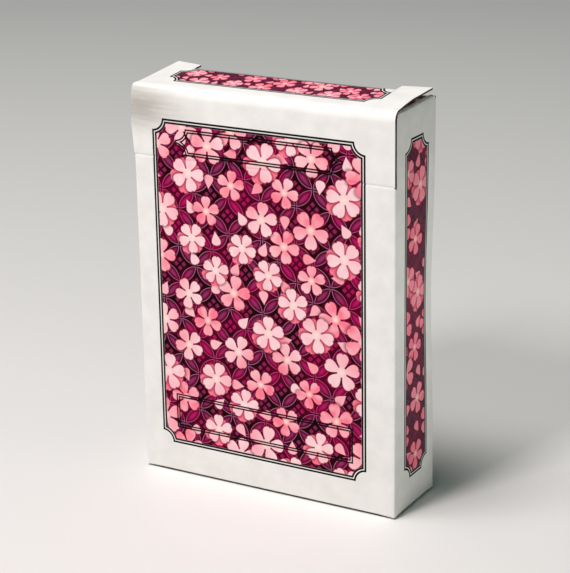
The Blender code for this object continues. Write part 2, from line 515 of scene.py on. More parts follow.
class PrintGroups:
    """Shader node groups that the finishes share, each of them built once.

    Sizes of petals, leaves and eyes are shares of the blossom's radius, the petal's length or the pitch.
    """

    CLOUD_SCALE = 0.22
    FIBRE_SCALE = 5.5
    FIBRE_STRETCH = (1.0, 1.0, 0.45)
    CLOUD_HEIGHT = 0.6
    CLOUD_DETAIL = 4.0
    FIBRE_DETAIL = 3.0
    MOTTLE = (0.3, 0.7)
    PETAL_MIDDLE = 0.58
    PETAL_REACH = 0.42
    PETAL_WIDENING = 0.34
    PETAL_ROOT = 0.11
    TIP_NOTCH = 0.1
    TIP_NOTCH_AT = 1.05
    HEART_SCALE = 3.6
    FALLEN_LENGTH = 1.6
    FALLEN_WIDENING = 0.5
    FALLEN_WIDTH = 0.58
    FALLEN_STRAY = 0.3
    FALLEN_SOFT = 0.06
    LEFT_OUT_BELOW = 0.12
    ROOT_BLUSH = (-1.0, 0.4, 0.35, 0.0)
    FALLEN_SHADE = (0.0, 0.5, 0.6, 0.0)
    TONE_NOISE = (0.1, 1.0)
    TONE_RANGE = (0.45, 0.6)
    LEAF_BODY = (0.07, 0.2)
    LEAF_LINE = (0.02, 0.042)
    LEAF_RIM = 0.018
    LEAF_SOFT = 0.006
    LEAF_EDGE = (0.0, 0.008)
    BUD_PLACE = 0.115
    BUD = (0.1, 0.02)
    BUD_DEPTH = 0.4
    EYE = (0.19, 0.01)
    EYE_CROSS = (0.03, 0.05)
    EYE_GLOW = 0.35
    BLOSSOM_STRAY = 0.24
    BLOSSOM_SOFT = 0.04
    SMALLEST = 0.84
    GROWTH = 0.3
    CHANCE_SPREAD = 7.3
    DOUBLE_ABOVE = 0.62
    SECOND_SHIFT = (0.4, 0.5, 0.0)
    SECOND_TURN = 0.5
    SECOND_TONE = (0.4, 1.0)
    BLOSSOM_SHADE = (0.0, 0.5, 0.65, 0.0)
    TONE_DRIFT = 0.3
    PALLOR = (0.0, 0.75)
    LIGHT_NOISE = (0.35, 1.0)
    LIGHT_RANGE = (0.4, 0.65, 0.0, 0.6)
    HEART_LIGHT = (0.0, 0.3, 0.9, 0.0)

    def __init__(self, inks: "PrintInks") -> None:
        """Build the groups in the order in which they use one another.

        Args:
            inks: Colours of the print.
        """
        self.inks = inks
        self.grain = self.board_grain()
        self.frame = self.notched_frame()
        self.rings = self.interlocked_rings()
        self.cells = self.scatter_cells()
        self.blossom = self.five_petals()
        self.petal = self.fallen_petal()
        self.ground = self.blossom_ground()

    @staticmethod
    def start(
        name: str, inputs: Sequence[tuple[str, object]], outputs: Sequence[tuple[str, str]]
    ) -> tuple[Graph, list[Socket], list[Socket]]:
        """Open a new group with its sockets.

        Args:
            name: Name of the group.
            inputs: Name and default of each input, where a default of None stands for a vector.
            outputs: Name and socket type of each output.

        Returns:
            The graph, the inputs and the outputs.
        """
        tree = bpy.data.node_groups.new(name, "ShaderNodeTree")
        for label, default in inputs:
            kind = "NodeSocketVector" if default is None else "NodeSocketFloat"
            socket = tree.interface.new_socket(label, in_out="INPUT", socket_type=kind)
            if default is not None:
                socket.default_value = default
        for label, kind in outputs:
            tree.interface.new_socket(label, in_out="OUTPUT", socket_type=f"NodeSocket{kind}")
        graph = Graph(tree)
        entry = graph.node("NodeGroupInput").outputs
        leave = graph.node("NodeGroupOutput").inputs
        return graph, [entry[label] for label, _ in inputs], [leave[label] for label, _ in outputs]

    def board_grain(self) -> bpy.types.NodeTree:
        """Paper grain of coated board: a mottle for the colour and a height for the bump.

        Returns:
            The group's tree.
        """
        outputs = [("Mottle", "Float"), ("Height", "Float")]
        graph, (place,), (mottle, height) = self.start("board_grain", [("Vector", None)], outputs)
        cloud = graph.noise(place, self.CLOUD_SCALE, self.CLOUD_DETAIL)
        stretched = graph.vector("MULTIPLY", place, self.FIBRE_STRETCH)
        fibre = graph.noise(stretched, self.FIBRE_SCALE, self.FIBRE_DETAIL)
        graph.feed(mottle, graph.ramp(cloud, *self.MOTTLE))
        graph.feed(height, graph.math("MULTIPLY_ADD", cloud, self.CLOUD_HEIGHT, fibre))
        return graph.tree

    def notched_frame(self) -> bpy.types.NodeTree:
        """Distance to an upright frame with concave round corners, negative inside.

        Returns:
            The group's tree.
        """
        inputs = [("Vector", None), ("Half Width", 26.0), ("Half Height", 38.0), ("Notch", 2.6)]
        graph, (place, width, height, notch), (distance,) = self.start(
            "notched_frame", inputs, [("Distance", "Float")]
        )
        x, y, _ = graph.split(graph.vector("ABSOLUTE", place))
        over_x = graph.math("SUBTRACT", x, width)
        over_y = graph.math("SUBTRACT", y, height)
        bite = graph.math("SUBTRACT", notch, graph.length(over_x, over_y))
        graph.feed(distance, graph.math("MAXIMUM", graph.math("MAXIMUM", over_x, over_y), bite))
        return graph.tree

    def interlocked_rings(self) -> bpy.types.NodeTree:
        """Traditional lattice of interlocked rings, with its shares of the pitch.

        Leaf is how deep a place lies inside the leaf where two rings cross, Far and Near are its larger and
        smaller distance from the middle of the eye between four leaves.

        Returns:
            The group's tree.
        """
        inputs = [("Vector", None), ("Pitch", 6.0)]
        outputs = [("Leaf", "Float"), ("Far", "Float"), ("Near", "Float")]
        graph, (place, pitch), (leaf, far_out, near_out) = self.start("interlocked_rings", inputs, outputs)
        turned = graph.turned(place, math.radians(45))
        cell = graph.vector("DIVIDE", turned, graph.join(pitch, pitch, 1.0))
        local = graph.vector("SUBTRACT", graph.vector("FRACTION", cell), (0.5, 0.5, 0.0))
        across, along, _ = graph.split(graph.vector("ABSOLUTE", local))
        far = graph.math("MAXIMUM", across, along)
        near = graph.math("MINIMUM", across, along)
        reach = graph.length(graph.math("SUBTRACT", 1.0, far), near)
        graph.feed(leaf, graph.math("SUBTRACT", math.sqrt(0.5), reach))
        graph.feed(far_out, far)
        graph.feed(near_out, near)
        return graph.tree

    def scatter_cells(self) -> bpy.types.NodeTree:
        """Square cells with one spot in each, moved, turned and toned by the cell's own chance.

        Returns:
            The group's tree.
        """
        inputs = [("Vector", None), ("Cell", 13.0), ("Stray", 0.2), ("Seed", 0.0)]
        outputs = [("Spot", "Vector"), ("Turn", "Float"), ("Tone", "Float")]
        graph, (place, size, stray, seed), (spot, turn, tone) = self.start("scatter_cells", inputs, outputs)
        spacing = graph.join(size, size, 1.0)
        cell = graph.vector("DIVIDE", place, spacing)
        x, y, _ = graph.split(graph.vector("FLOOR", cell))
        chance = graph.node("ShaderNodeTexWhiteNoise", noise_dimensions="3D")
        graph.feed(chance.inputs["Vector"], graph.join(x, y, seed))
        luck = graph.vector("SUBTRACT", chance.outputs["Color"], (0.5, 0.5, 0.5))
        moved = graph.vector("MULTIPLY", luck, graph.join(stray, stray, 0.0))
        local = graph.vector("SUBTRACT", graph.vector("FRACTION", cell), (0.5, 0.5, 0.0))
        graph.feed(spot, graph.vector("MULTIPLY", graph.vector("SUBTRACT", local, moved), spacing))
        graph.feed(turn, graph.math("MULTIPLY", graph.split(luck)[2], 2 * math.pi))
        graph.feed(tone, chance.outputs["Value"])
        return graph.tree

    def five_petals(self) -> bpy.types.NodeTree:
        """Blossom of five round petals: Shape is under 0 on it, Radial is the share of its radius.

        Returns:
            The group's tree.
        """
        inputs = [("Spot", None), ("Radius", 3.5), ("Turn", 0.0)]
        graph, (spot, radius, turn), (shape, radial) = self.start(
            "five_petals", inputs, [("Shape", "Float"), ("Radial", "Float")]
        )
        x, y, _ = graph.split(spot)
        share = graph.math("DIVIDE", graph.length(x, y), radius)
        angle = graph.math("ADD", graph.math("ARCTAN2", y, x), turn)
        folded = graph.math("WRAP", angle, math.pi / 5, -math.pi / 5)
        along = graph.math("MULTIPLY", share, graph.math("COSINE", folded))
        across = graph.math("MULTIPLY", share, graph.math("SINE", folded))
        lengthways = graph.math("DIVIDE", graph.math("SUBTRACT", along, self.PETAL_MIDDLE), self.PETAL_REACH)
        width = graph.math("MULTIPLY_ADD", along, self.PETAL_WIDENING, self.PETAL_ROOT)
        sideways = graph.math("DIVIDE", across, width)
        oval = graph.math("SUBTRACT", graph.length(lengthways, sideways), 1.0)
        to_tip = graph.length(graph.math("SUBTRACT", along, self.TIP_NOTCH_AT), across)
        oval = graph.math("MAXIMUM", oval, graph.math("SUBTRACT", self.TIP_NOTCH, to_tip))
        heart = graph.math("MULTIPLY_ADD", share, self.HEART_SCALE, -1.0)
        graph.feed(shape, graph.math("MINIMUM", oval, heart))
        graph.feed(radial, share)
        return graph.tree

    def fallen_petal(self) -> bpy.types.NodeTree:
        """Single petal with a pointed root: Shape is under 0 on it, Along runs from the root to the tip.

        Returns:
            The group's tree.
        """
        inputs = [("Spot", None), ("Length", self.FALLEN_LENGTH), ("Turn", 0.0)]
        graph, (spot, length, turn), (shape, along_out) = self.start(
            "fallen_petal", inputs, [("Shape", "Float"), ("Along", "Float")]
        )
        x, y, _ = graph.split(graph.turned(spot, turn))
        along = graph.math("DIVIDE", x, length)
        across = graph.math("DIVIDE", y, length)
        width = graph.math("MULTIPLY_ADD", along, self.FALLEN_WIDENING, self.FALLEN_WIDTH)
        sideways = graph.math("DIVIDE", across, width)
        graph.feed(shape, graph.math("SUBTRACT", graph.length(along, sideways), 1.0))
        graph.feed(along_out, along)
        return graph.tree

    def blossom_ground(self) -> bpy.types.NodeTree:
        """Whole printed ground: the lattice, fallen petals and two layers of blossoms.

        Returns:
            The group's tree.
        """
        inputs = [("Vector", None), ("Dusk", 0.0), ("Warmth", 0.0)]
        outputs = [("Colour", "Color")]
        graph, (place, dusk, warmth), (colour_out,) = self.start("blossom_ground", inputs, outputs)
        # Painted sheen: blend the lattice towards a flat grey mauve.
        colour = graph.blend(dusk, self.lattice(graph, place), self.inks.dusk)
        half = self.inks.blossom_cell / 2
        layers = (
            (self.lay_petals, (half, 0.0, 0.0), 3.0),
            (self.lay_petals, (0.0, half, 0.0), 8.0),
            (self.lay_blossoms, (0.0, 0.0, 0.0), 1.0),
            (self.lay_blossoms, (half, half, 0.0), 5.0),
        )
        for lay, shift, seed in layers:
            colour = lay(graph, graph.vector("ADD", place, shift), seed, warmth, colour)
        graph.feed(colour_out, colour)
        return graph.tree

    def lattice(self, graph: Graph, place: Socket) -> Socket:
        """Print the lattice of leaves, with four buds in each dark eye.

        Args:
            graph: Graph of the print.
            place: Place on the panel, in millimetres.

        Returns:
            The lattice's colour.
        """
        inks = self.inks
        leaf, far, near = graph.group(self.rings, Vector=place, Pitch=inks.ring_pitch).outputs
        tone = graph.ramp(graph.noise(place, *self.TONE_NOISE), *self.TONE_RANGE)
        bright = graph.blend(tone, inks.plum, inks.magenta)
        dark = graph.blend(tone, inks.deep_plum, inks.deep_magenta)
        body = graph.blend(graph.ramp(leaf, *self.LEAF_BODY), dark, bright)
        line = graph.blend(tone, inks.leaf_line, inks.leaf_glow)
        body = graph.blend(graph.band(leaf, *self.LEAF_LINE, self.LEAF_SOFT), body, line)
        body = graph.blend(graph.inside(leaf, self.LEAF_RIM, self.LEAF_SOFT), body, inks.black)
        off_far = graph.math("SUBTRACT", far, self.BUD_PLACE)
        rounding = graph.length(off_far, graph.math("SUBTRACT", near, self.BUD_PLACE))
        square = graph.math("MULTIPLY", graph.inside(far, *self.EYE), graph.ramp(near, *self.EYE_CROSS))
        bud = graph.math("MULTIPLY", graph.inside(rounding, *self.BUD), square)
        eye = graph.blend(tone, inks.black, inks.deep_magenta)
        eye = graph.blend(self.EYE_GLOW, inks.black, eye)
        eye = graph.blend(bud, eye, graph.blend(self.BUD_DEPTH, bright, dark))
        return graph.blend(graph.inside(leaf, *self.LEAF_EDGE), body, eye)

    def lay_petals(
        self, graph: Graph, place: Socket, seed: float, warmth: Socket, under: Socket
    ) -> Socket:
        """Print one layer of fallen petals.

        Args:
            graph: Graph of the print.
            place: Place on the layer, in millimetres.
            seed: Seed of the layer's chance.
            warmth: How far the tones go from pale pink towards coral.
            under: Colour that is already printed.

        Returns:
            The colour with the layer on it.
        """
        inks = self.inks
        spot, turn, tone = graph.group(
            self.cells, Vector=place, Cell=inks.blossom_cell, Stray=self.FALLEN_STRAY, Seed=seed
        ).outputs
        shape, along = graph.group(self.petal, Spot=spot, Length=self.FALLEN_LENGTH, Turn=turn).outputs
        petal = graph.blend(tone, inks.coral, inks.pale)
        petal = graph.blend(graph.ramp(along, *self.ROOT_BLUSH), petal, inks.blush)
        petal = graph.blend(graph.math("MULTIPLY", warmth, inks.warm_share), petal, inks.coral)
        fallen = graph.math("GREATER_THAN", tone, self.LEFT_OUT_BELOW)
        shade = graph.math("MULTIPLY", graph.ramp(shape, *self.FALLEN_SHADE), fallen)
        shaded = graph.blend(shade, under, inks.shadow)
        mask = graph.math("MULTIPLY", graph.inside(shape, 0.0, self.FALLEN_SOFT), fallen)
        return graph.blend(mask, shaded, petal)

    def lay_blossoms(
        self, graph: Graph, place: Socket, seed: float, warmth: Socket, under: Socket
    ) -> Socket:
        """Print one layer of blossoms, some of them over a second, darker blossom.

        Args:
            graph: Graph of the print.
            place: Place on the layer, in millimetres.
            seed: Seed of the layer's chance.
            warmth: How far the tones go from pale pink towards coral.
            under: Colour that is already printed.

        Returns:
            The colour with the layer on it.
        """
        inks = self.inks
        spot, turn, tone = graph.group(
            self.cells, Vector=place, Cell=inks.blossom_cell, Stray=self.BLOSSOM_STRAY, Seed=seed
        ).outputs
        chance = graph.math("FRACT", graph.math("MULTIPLY", tone, self.CHANCE_SPREAD))
        growth = graph.math("MULTIPLY_ADD", chance, self.GROWTH, self.SMALLEST)
        radius = graph.math("MULTIPLY", growth, inks.blossom_radius)
        behind = graph.group(
            self.blossom,
            Spot=graph.vector("ADD", spot, self.SECOND_SHIFT),
            Radius=radius,
            Turn=graph.math("ADD", turn, self.SECOND_TURN),
        )
        double = graph.math("GREATER_THAN", tone, self.DOUBLE_ABOVE)
        shape, radial = behind.outputs
        mask = graph.math("MULTIPLY", graph.inside(shape, 0.0, self.BLOSSOM_SOFT), double)
        darker = graph.blend(graph.ramp(radial, *self.SECOND_TONE), inks.coral_deep, inks.coral)
        colour = graph.blend(mask, under, darker)
        front = graph.group(self.blossom, Spot=spot, Radius=radius, Turn=turn)
        shape, radial = front.outputs
        colour = graph.blend(graph.ramp(shape, *self.BLOSSOM_SHADE), colour, inks.shadow)
        drift = graph.math("DIVIDE", graph.split(graph.turned(spot, turn))[0], radius)
        pallor = graph.math("MULTIPLY_ADD", drift, self.TONE_DRIFT, tone)
        petals = graph.blend(graph.ramp(pallor, *self.PALLOR), inks.coral, inks.pale)
        light = graph.ramp(graph.noise(place, *self.LIGHT_NOISE), *self.LIGHT_RANGE)
        petals = graph.blend(light, petals, inks.blush)
        petals = graph.blend(graph.math("MULTIPLY", warmth, inks.warm_share), petals, inks.coral)
        petals = graph.blend(graph.ramp(radial, *self.HEART_LIGHT), petals, inks.cream)
        return graph.blend(graph.inside(shape, 0.0, self.BLOSSOM_SOFT), colour, petals)


@dataclass(frozen=True)
class PrintInks:
    """Inks and repeats of the printed panels, with the repeats in millimetres."""

    deep_plum: Colour = ink(88, 4, 44)
    plum: Colour = ink(146, 48, 98)
    deep_magenta: Colour = ink(130, 0, 56)
    magenta: Colour = ink(184, 24, 100)
    leaf_line: Colour = ink(172, 112, 146)
    leaf_glow: Colour = ink(200, 70, 130)
    black: Colour = ink(34, 0, 4)
    shadow: Colour = ink(120, 0, 42)
    # Grey mauve of the painted sheen on the lattice.
    dusk: Colour = ink(92, 38, 58)
    coral: Colour = ink(255, 126, 148)
    coral_deep: Colour = ink(240, 92, 124)
    blush: Colour = ink(255, 192, 200)
    pale: Colour = ink(255, 216, 220)
    cream: Colour = ink(255, 232, 214)
    line: Colour = ink(8, 6, 8)
    ring_pitch: float = 6.05
    blossom_cell: float = 13.0
    blossom_radius: float = 4.0
    warm_share: float = 0.85


class Plane(Enum):
    """Row axes that a printed panel's own across and up run along."""

    FRONT = (0, 2)
    TOP = (0, 1)
    SIDE = (1, 2)


@dataclass(frozen=True)
class PrintFrame:
    """A printed frame on a panel, in millimetres of the row frame."""

    centre: Point
    half: Point
    notch: float = 2.65


@dataclass(frozen=True)
class PaintedShade:
    """A patch of painted shade that greys the board, in millimetres of the row frame."""

    centre: Point
    reach: Point
    share: float


@dataclass(frozen=True)
class Panel:
    """One panel of printed board, with its frame and any bare plaques on it.

    The shift, repeat, painted sheen and warmth say how the blossom ground lies on it: where it starts, how
    many times smaller it is, how far a painted sheen greys its lattice and how far its blossoms go towards
    coral.
    """

    name: str
    plane: Plane
    frame: PrintFrame
    plaques: tuple[PrintFrame, ...] = ()
    shift: Point = (0.0, 0.0)
    repeat: float = 1.0
    # Share of painted sheen over the lattice.
    dusk: float = 0.0
    warmth: float = 0.0
    lined: bool = True
    # Patch of painted shade on the bare board, if any.
    wear: Optional[PaintedShade] = None


class BoardFinish:
    """White coated board, printed or bare, and its raw inside and edges."""

    COATED = (ink(244, 243, 238), ink(236, 235, 230))
    # Grey of the painted shade patch.
    WORN = ink(172, 168, 159)
    RAW = (ink(226, 222, 212), ink(212, 207, 196))
    # Cut-edge grey: the board's core, darkened further as painted shade for the slits, the lid's edge and the
    # foot line.
    CORE = (ink(84, 80, 76), ink(62, 59, 56))
    ROUGH = 0.42
    RAW_ROUGH = 0.75
    INK_GLOSS = -0.1
    SPECULAR = 0.03
    COATED_GRAIN = 0.25
    GRAIN_DEPTH = 0.02 * MM
    STREAK_STRETCH = (0.12, 1.0, 0.0)
    STREAK_SCALE = 1.1
    STREAK_DETAIL = 3.0
    STREAK_RANGE = (0.3, 0.65, 0.7, 1.0)
    LINE_WIDTH = 0.45
    LINE_GAP = 0.22
    PLAQUE_LINE = 0.36
    SOFT = 0.06

    def __init__(self, groups: PrintGroups) -> None:
        """Keep the groups and their inks."""
        self.groups = groups
        self.inks = groups.inks

    def begin(
        self, name: str, stiff: bool = False
    ) -> tuple[bpy.types.Material, Graph, bpy.types.Node, Socket]:
        """Open a material with its Principled BSDF and its place in millimetres.

        Args:
            name: Name of the material.
            stiff: True for pieces that never bend, which read Object coordinates.

        Returns:
            The material, its graph, its shader and the place.
        """
        material = bpy.data.materials.new(name)
        material.use_nodes = True
        graph = Graph(material.node_tree)
        shader = material.node_tree.nodes["Principled BSDF"]
        shader.inputs["Specular IOR Level"].default_value = self.SPECULAR
        if stiff:
            rest = graph.node("ShaderNodeTexCoord").outputs["Object"]
        else:
            rest = graph.node("ShaderNodeAttribute", attribute_name=REST_PLACE).outputs["Vector"]
        scaled = graph.node("ShaderNodeMapping", {"Vector": rest, "Scale": (1 / MM, 1 / MM, 1 / MM)})
        return material, graph, shader, scaled.outputs["Vector"]

    def surface(
        self, graph: Graph, shader: bpy.types.Node, place: Socket, light: Colour, dark: Colour, bump: float
    ) -> Socket:
        """Give the shader the board's grain.

        Args:
            graph: Graph of the material.
            shader: Its Principled BSDF.
            place: Place on the board, in millimetres.
            light: Colour of its lighter fibres.
            dark: Colour of its darker fibres.
            bump: Strength of the grain.

        Returns:
            The board's colour.
        """
        grain = graph.group(self.groups.grain, Vector=place)
        feeds = {"Strength": bump, "Distance": self.GRAIN_DEPTH, "Height": grain.outputs["Height"]}
        relief = graph.node("ShaderNodeBump", feeds)
        graph.feed(shader.inputs["Normal"], relief.outputs["Normal"])
        return graph.blend(grain.outputs["Mottle"], dark, light)

    def plain(self, name: str, light: Colour, dark: Colour, bump: float, rough: float) -> bpy.types.Material:
        """Make bare board: its coated face, its raw inside or its cut edge.

        Args:
            name: Name of the material.
            light: Colour of its lighter fibres.
            dark: Colour of its darker fibres.
            bump: Strength of the grain.
            rough: Roughness of the surface.

        Returns:
            The material.
        """
        material, graph, shader, place = self.begin(name)
        colour = self.surface(graph, shader, place, light, dark, bump)
        graph.feed(shader.inputs["Base Color"], colour)
        shader.inputs["Roughness"].default_value = rough
        return material

    def printed(self, panel: Panel) -> bpy.types.Material:
        """Make a printed panel: white board, a double-line frame and the blossom ground inside it.

        Args:
            panel: Print of the panel.

        Returns:
            The material.
        """
        material, graph, shader, place = self.begin(panel.name)
        board = self.surface(graph, shader, place, *self.COATED, self.COATED_GRAIN)
        axes = graph.split(place)
        flat = graph.join(axes[panel.plane.value[0]], axes[panel.plane.value[1]])
        # Painted shade: a soft, streaked grey patch on the bare board.
        if panel.wear:
            board = self.worn(graph, flat, panel.wear, board)
        distance = self.frame_distance(graph, flat, panel.frame)
        art_edge = -2 * self.LINE_WIDTH - self.LINE_GAP if panel.lined else 0.0
        grown = graph.vector("MULTIPLY", flat, (panel.repeat, panel.repeat, 0.0))
        art_place = graph.vector("ADD", grown, (*panel.shift, 0.0))
        ground = graph.group(self.groups.ground, Vector=art_place, Dusk=panel.dusk, Warmth=panel.warmth)
        art = ground.outputs["Colour"]
        lines: Value = self.double_line(graph, distance, self.LINE_WIDTH) if panel.lined else 0.0
        for plaque in panel.plaques:
            plaque_lines = self.double_line(graph, self.frame_distance(graph, flat, plaque), self.PLAQUE_LINE)
            lines = graph.math("MAXIMUM", lines, plaque_lines)
        field = graph.inside(distance, art_edge, self.SOFT)
        colour = graph.blend(field, board, art)
        colour = graph.blend(lines, colour, self.inks.line)
        graph.feed(shader.inputs["Base Color"], colour)
        inked = graph.math("MAXIMUM", field, lines)
        gloss = graph.math("MULTIPLY_ADD", inked, self.INK_GLOSS, self.ROUGH)
        graph.feed(shader.inputs["Roughness"], gloss)
        return material

    def worn(self, graph: Graph, flat: Socket, wear: PaintedShade, board: Socket) -> Socket:
        """Paint shade onto the board as one soft grey patch, streaked across it.

        Args:
            graph: Graph of the panel.
            flat: Place on the panel, in millimetres.
            wear: The patch.
            board: Colour of the board.

        Returns:
            The board's colour with the patch.
        """
        off = graph.vector("SUBTRACT", flat, (*wear.centre, 0.0))
        off = graph.vector("MULTIPLY", off, (1 / wear.reach[0], 1 / wear.reach[1], 0.0))
        patch = graph.ramp(graph.vector("LENGTH", off), 0.0, 1.0, wear.share, 0.0)
        stretched = graph.vector("MULTIPLY", flat, self.STREAK_STRETCH)
        streaks = graph.noise(stretched, self.STREAK_SCALE, self.STREAK_DETAIL)
        patch = graph.math("MULTIPLY", patch, graph.ramp(streaks, *self.STREAK_RANGE))
        # Blend the board towards the grey of the painted shade.
        return graph.blend(patch, board, self.WORN)

    def frame_distance(self, graph: Graph, flat: Socket, printed: PrintFrame) -> Socket:
        """Measure the distance to a printed frame.

        Args:
            graph: Graph of the material.
            flat: Place in the panel's plane.
            printed: Frame to measure.

        Returns:
            The distance, negative inside.
        """
        centred = graph.vector("SUBTRACT", flat, (*printed.centre, 0.0))
        made = graph.group(
            self.groups.frame,
            Vector=centred,
            Half_Width=printed.half[0],
            Half_Height=printed.half[1],
            Notch=printed.notch,
        )
        return made.outputs["Distance"]

    def double_line(self, graph: Graph, distance: Socket, width: float) -> Socket:
        """Mask the two lines of a frame.

        Args:
            graph: Graph of the material.
            distance: Distance to the frame.
            width: Width of each line.

        Returns:
            The mask.
        """
        inner = -width - self.LINE_GAP
        outside = graph.band(distance, -width, 0.0, self.SOFT)
        inside = graph.band(distance, inner - width, inner, self.SOFT)
        return graph.math("MAXIMUM", outside, inside)


@dataclass(frozen=True)
class PipRow:
    """Pips of a card's face at one column and height, in millimetres from its middle.

    Ranks are spans of a first and a last rank, from 1 for the ace to 13 for the king.
    """

    across: float
    up: float
    ranks: tuple[tuple[int, int], ...]


class CardFinish:
    """Coated card stock: faces with the pips of their suit, a printed lattice back and cut edges."""

    RANKS = 13
    JOKER_SUIT = 4.0
    WHITE = (ink(247, 246, 243), ink(243, 242, 238))
    EDGE = (ink(238, 236, 230), ink(206, 202, 194))
    # Grey of the cards' core line, and of the painted shade at each card's borders.
    CORE = ink(120, 116, 112)
    RED = ink(192, 18, 50)
    BLACK = ink(24, 20, 26)
    BORDER = 4.0
    COURT_HALF = (21.0, 34.0)
    MARK_PLACE = (26.6, 37.6)
    MARK_SIZE = 1.7
    PIP_SIZE = 5.0
    ACE_GROWTH = 1.3
    COLUMN = 13.0
    ROW = 28.0
    HALO = 1.35
    LINE = 0.3
    FIELD_EDGE = -1.2
    NOTCH = 2.0
    CORE_LINE = (0.02, 0.1, 0.5, 0.0)
    # Ramp of the painted shade at each card's borders.
    EDGE_SHADE = (0.3, 0.5, 0.0, 0.75)
    BACK_PITCH = 3.2
    BACK_LEAF = (0.05, 0.2)
    BACK_LINE = (0.0, 0.05, 0.01)
    BACK_LEAF_EDGE = (0.0, 0.01)
    BACK_EYE = (0.12, 0.02)
    COURT_PITCH = 5.0
    COURT_LINE = (0.0, 0.04, 0.01)
    COURT_LEAF = (0.06, 0.2, 0.0, 0.8)
    LAST_NUMBER = 10.5
    JOKER_RADIUS = 15.0
    JOKER_TURN = 0.31
    JOKER_TONE = (0.1, 0.9)
    MATCH = 0.2
    FACING = 0.5
    GRAIN = 0.1
    ROUGH = 0.33
    SOFT = 0.03
    HEART_SLOPE = (-0.66, -0.614)
    HEART_FLANK = 0.75
    HEART_TOP = 0.04
    HEART_LOBE = (0.46, 0.38, 0.52)
    HEART_MIDDLE = (0.0, 0.1, 0.36)
    STEM_FLARE = (0.32, 0.1)
    STEM_TOP = 0.1
    STEM_FOOT = -0.98
    SPADE_LIFT = 0.08
    CLUB_TOP = (0.0, 0.5, 0.44)
    CLUB_SIDE = (0.5, -0.16, 0.44)
    CLUB_MIDDLE = (0.0, 0.0, 0.25)
    DIAMOND_SLOPE = 1.35
    DIAMOND_TIP = 0.98
    PIPS = (
        PipRow(COLUMN, ROW, ((4, 10),)),
        PipRow(COLUMN, ROW / 3, ((9, 10),)),
        PipRow(COLUMN, 0.0, ((6, 8),)),
        PipRow(0.0, ROW, ((2, 3),)),
        PipRow(0.0, ROW * 2 / 3, ((10, 10), (13, 13))),
        PipRow(0.0, ROW / 2, ((7, 8), (12, 12))),
        PipRow(0.0, 0.0, ((1, 1), (3, 3), (5, 5), (9, 9), (11, 11), (13, 13))),
    )

    def __init__(self, board: BoardFinish) -> None:
        """Keep the finish that holds the shared parts, and build the pips.

        Args:
            board: Finish of the board.
        """
        self.board = board
        self.inks = board.inks
        self.pip = self.suit_pip()

    def suit_pip(self) -> bpy.types.NodeTree:
        """Distance to the pip of a suit that is one unit high and wide each way, negative inside.

        Returns:
            The group's tree.
        """
        graph, (spot, suit), (distance,) = PrintGroups.start(
            "suit_pip", [("Spot", None), ("Suit", 0.0)], [("Distance", "Float")]
        )
        x, y, _ = graph.split(spot)
        aside = graph.math("ABSOLUTE", x)

        def disc(across: float, up: float, radius: float, height: Socket) -> Socket:
            """Measure the distance to a round lobe."""
            off_x = graph.math("SUBTRACT", aside, across)
            return graph.math("SUBTRACT", graph.length(off_x, graph.math("SUBTRACT", height, up)), radius)

        def heart(height: Socket) -> Socket:
            """Measure the distance to a heart.

            Args:
                height: Height on the pip.

            Returns:
                The distance, negative inside.
            """
            slope = graph.math("MULTIPLY_ADD", height, *self.HEART_SLOPE)
            flank = graph.math("MULTIPLY_ADD", aside, self.HEART_FLANK, slope)
            body = graph.math("MAXIMUM", flank, graph.math("SUBTRACT", height, self.HEART_TOP))
            lobes = graph.math("MINIMUM", disc(*self.HEART_LOBE, height), disc(*self.HEART_MIDDLE, height))
            return graph.math("MINIMUM", lobes, body)

        flare = graph.math("MULTIPLY_ADD", y, *self.STEM_FLARE)
        foot = graph.math("MAXIMUM", graph.math("ADD", aside, flare), graph.math("ADD", y, self.STEM_TOP))
        stem = graph.math("MAXIMUM", foot, graph.math("SUBTRACT", self.STEM_FOOT, y))
        turned = graph.math("MULTIPLY_ADD", y, -1.0, self.SPADE_LIFT)
        spade = graph.math("MINIMUM", heart(turned), stem)
        lobes = graph.math("MINIMUM", disc(*self.CLUB_TOP, y), disc(*self.CLUB_SIDE, y))
        club = graph.math("MINIMUM", graph.math("MINIMUM", lobes, disc(*self.CLUB_MIDDLE, y)), stem)
        upright = graph.math("SUBTRACT", graph.math("ABSOLUTE", y), self.DIAMOND_TIP)
        diamond = graph.math("MULTIPLY_ADD", aside, self.DIAMOND_SLOPE, upright)
        total: Value = 0.0
        for place, shape in enumerate((spade, heart(y), club, diamond)):
            chosen = graph.math("COMPARE", suit, float(place), self.MATCH)
            total = graph.math("MULTIPLY_ADD", shape, chosen, total)
        graph.feed(distance, total)
        return graph.tree

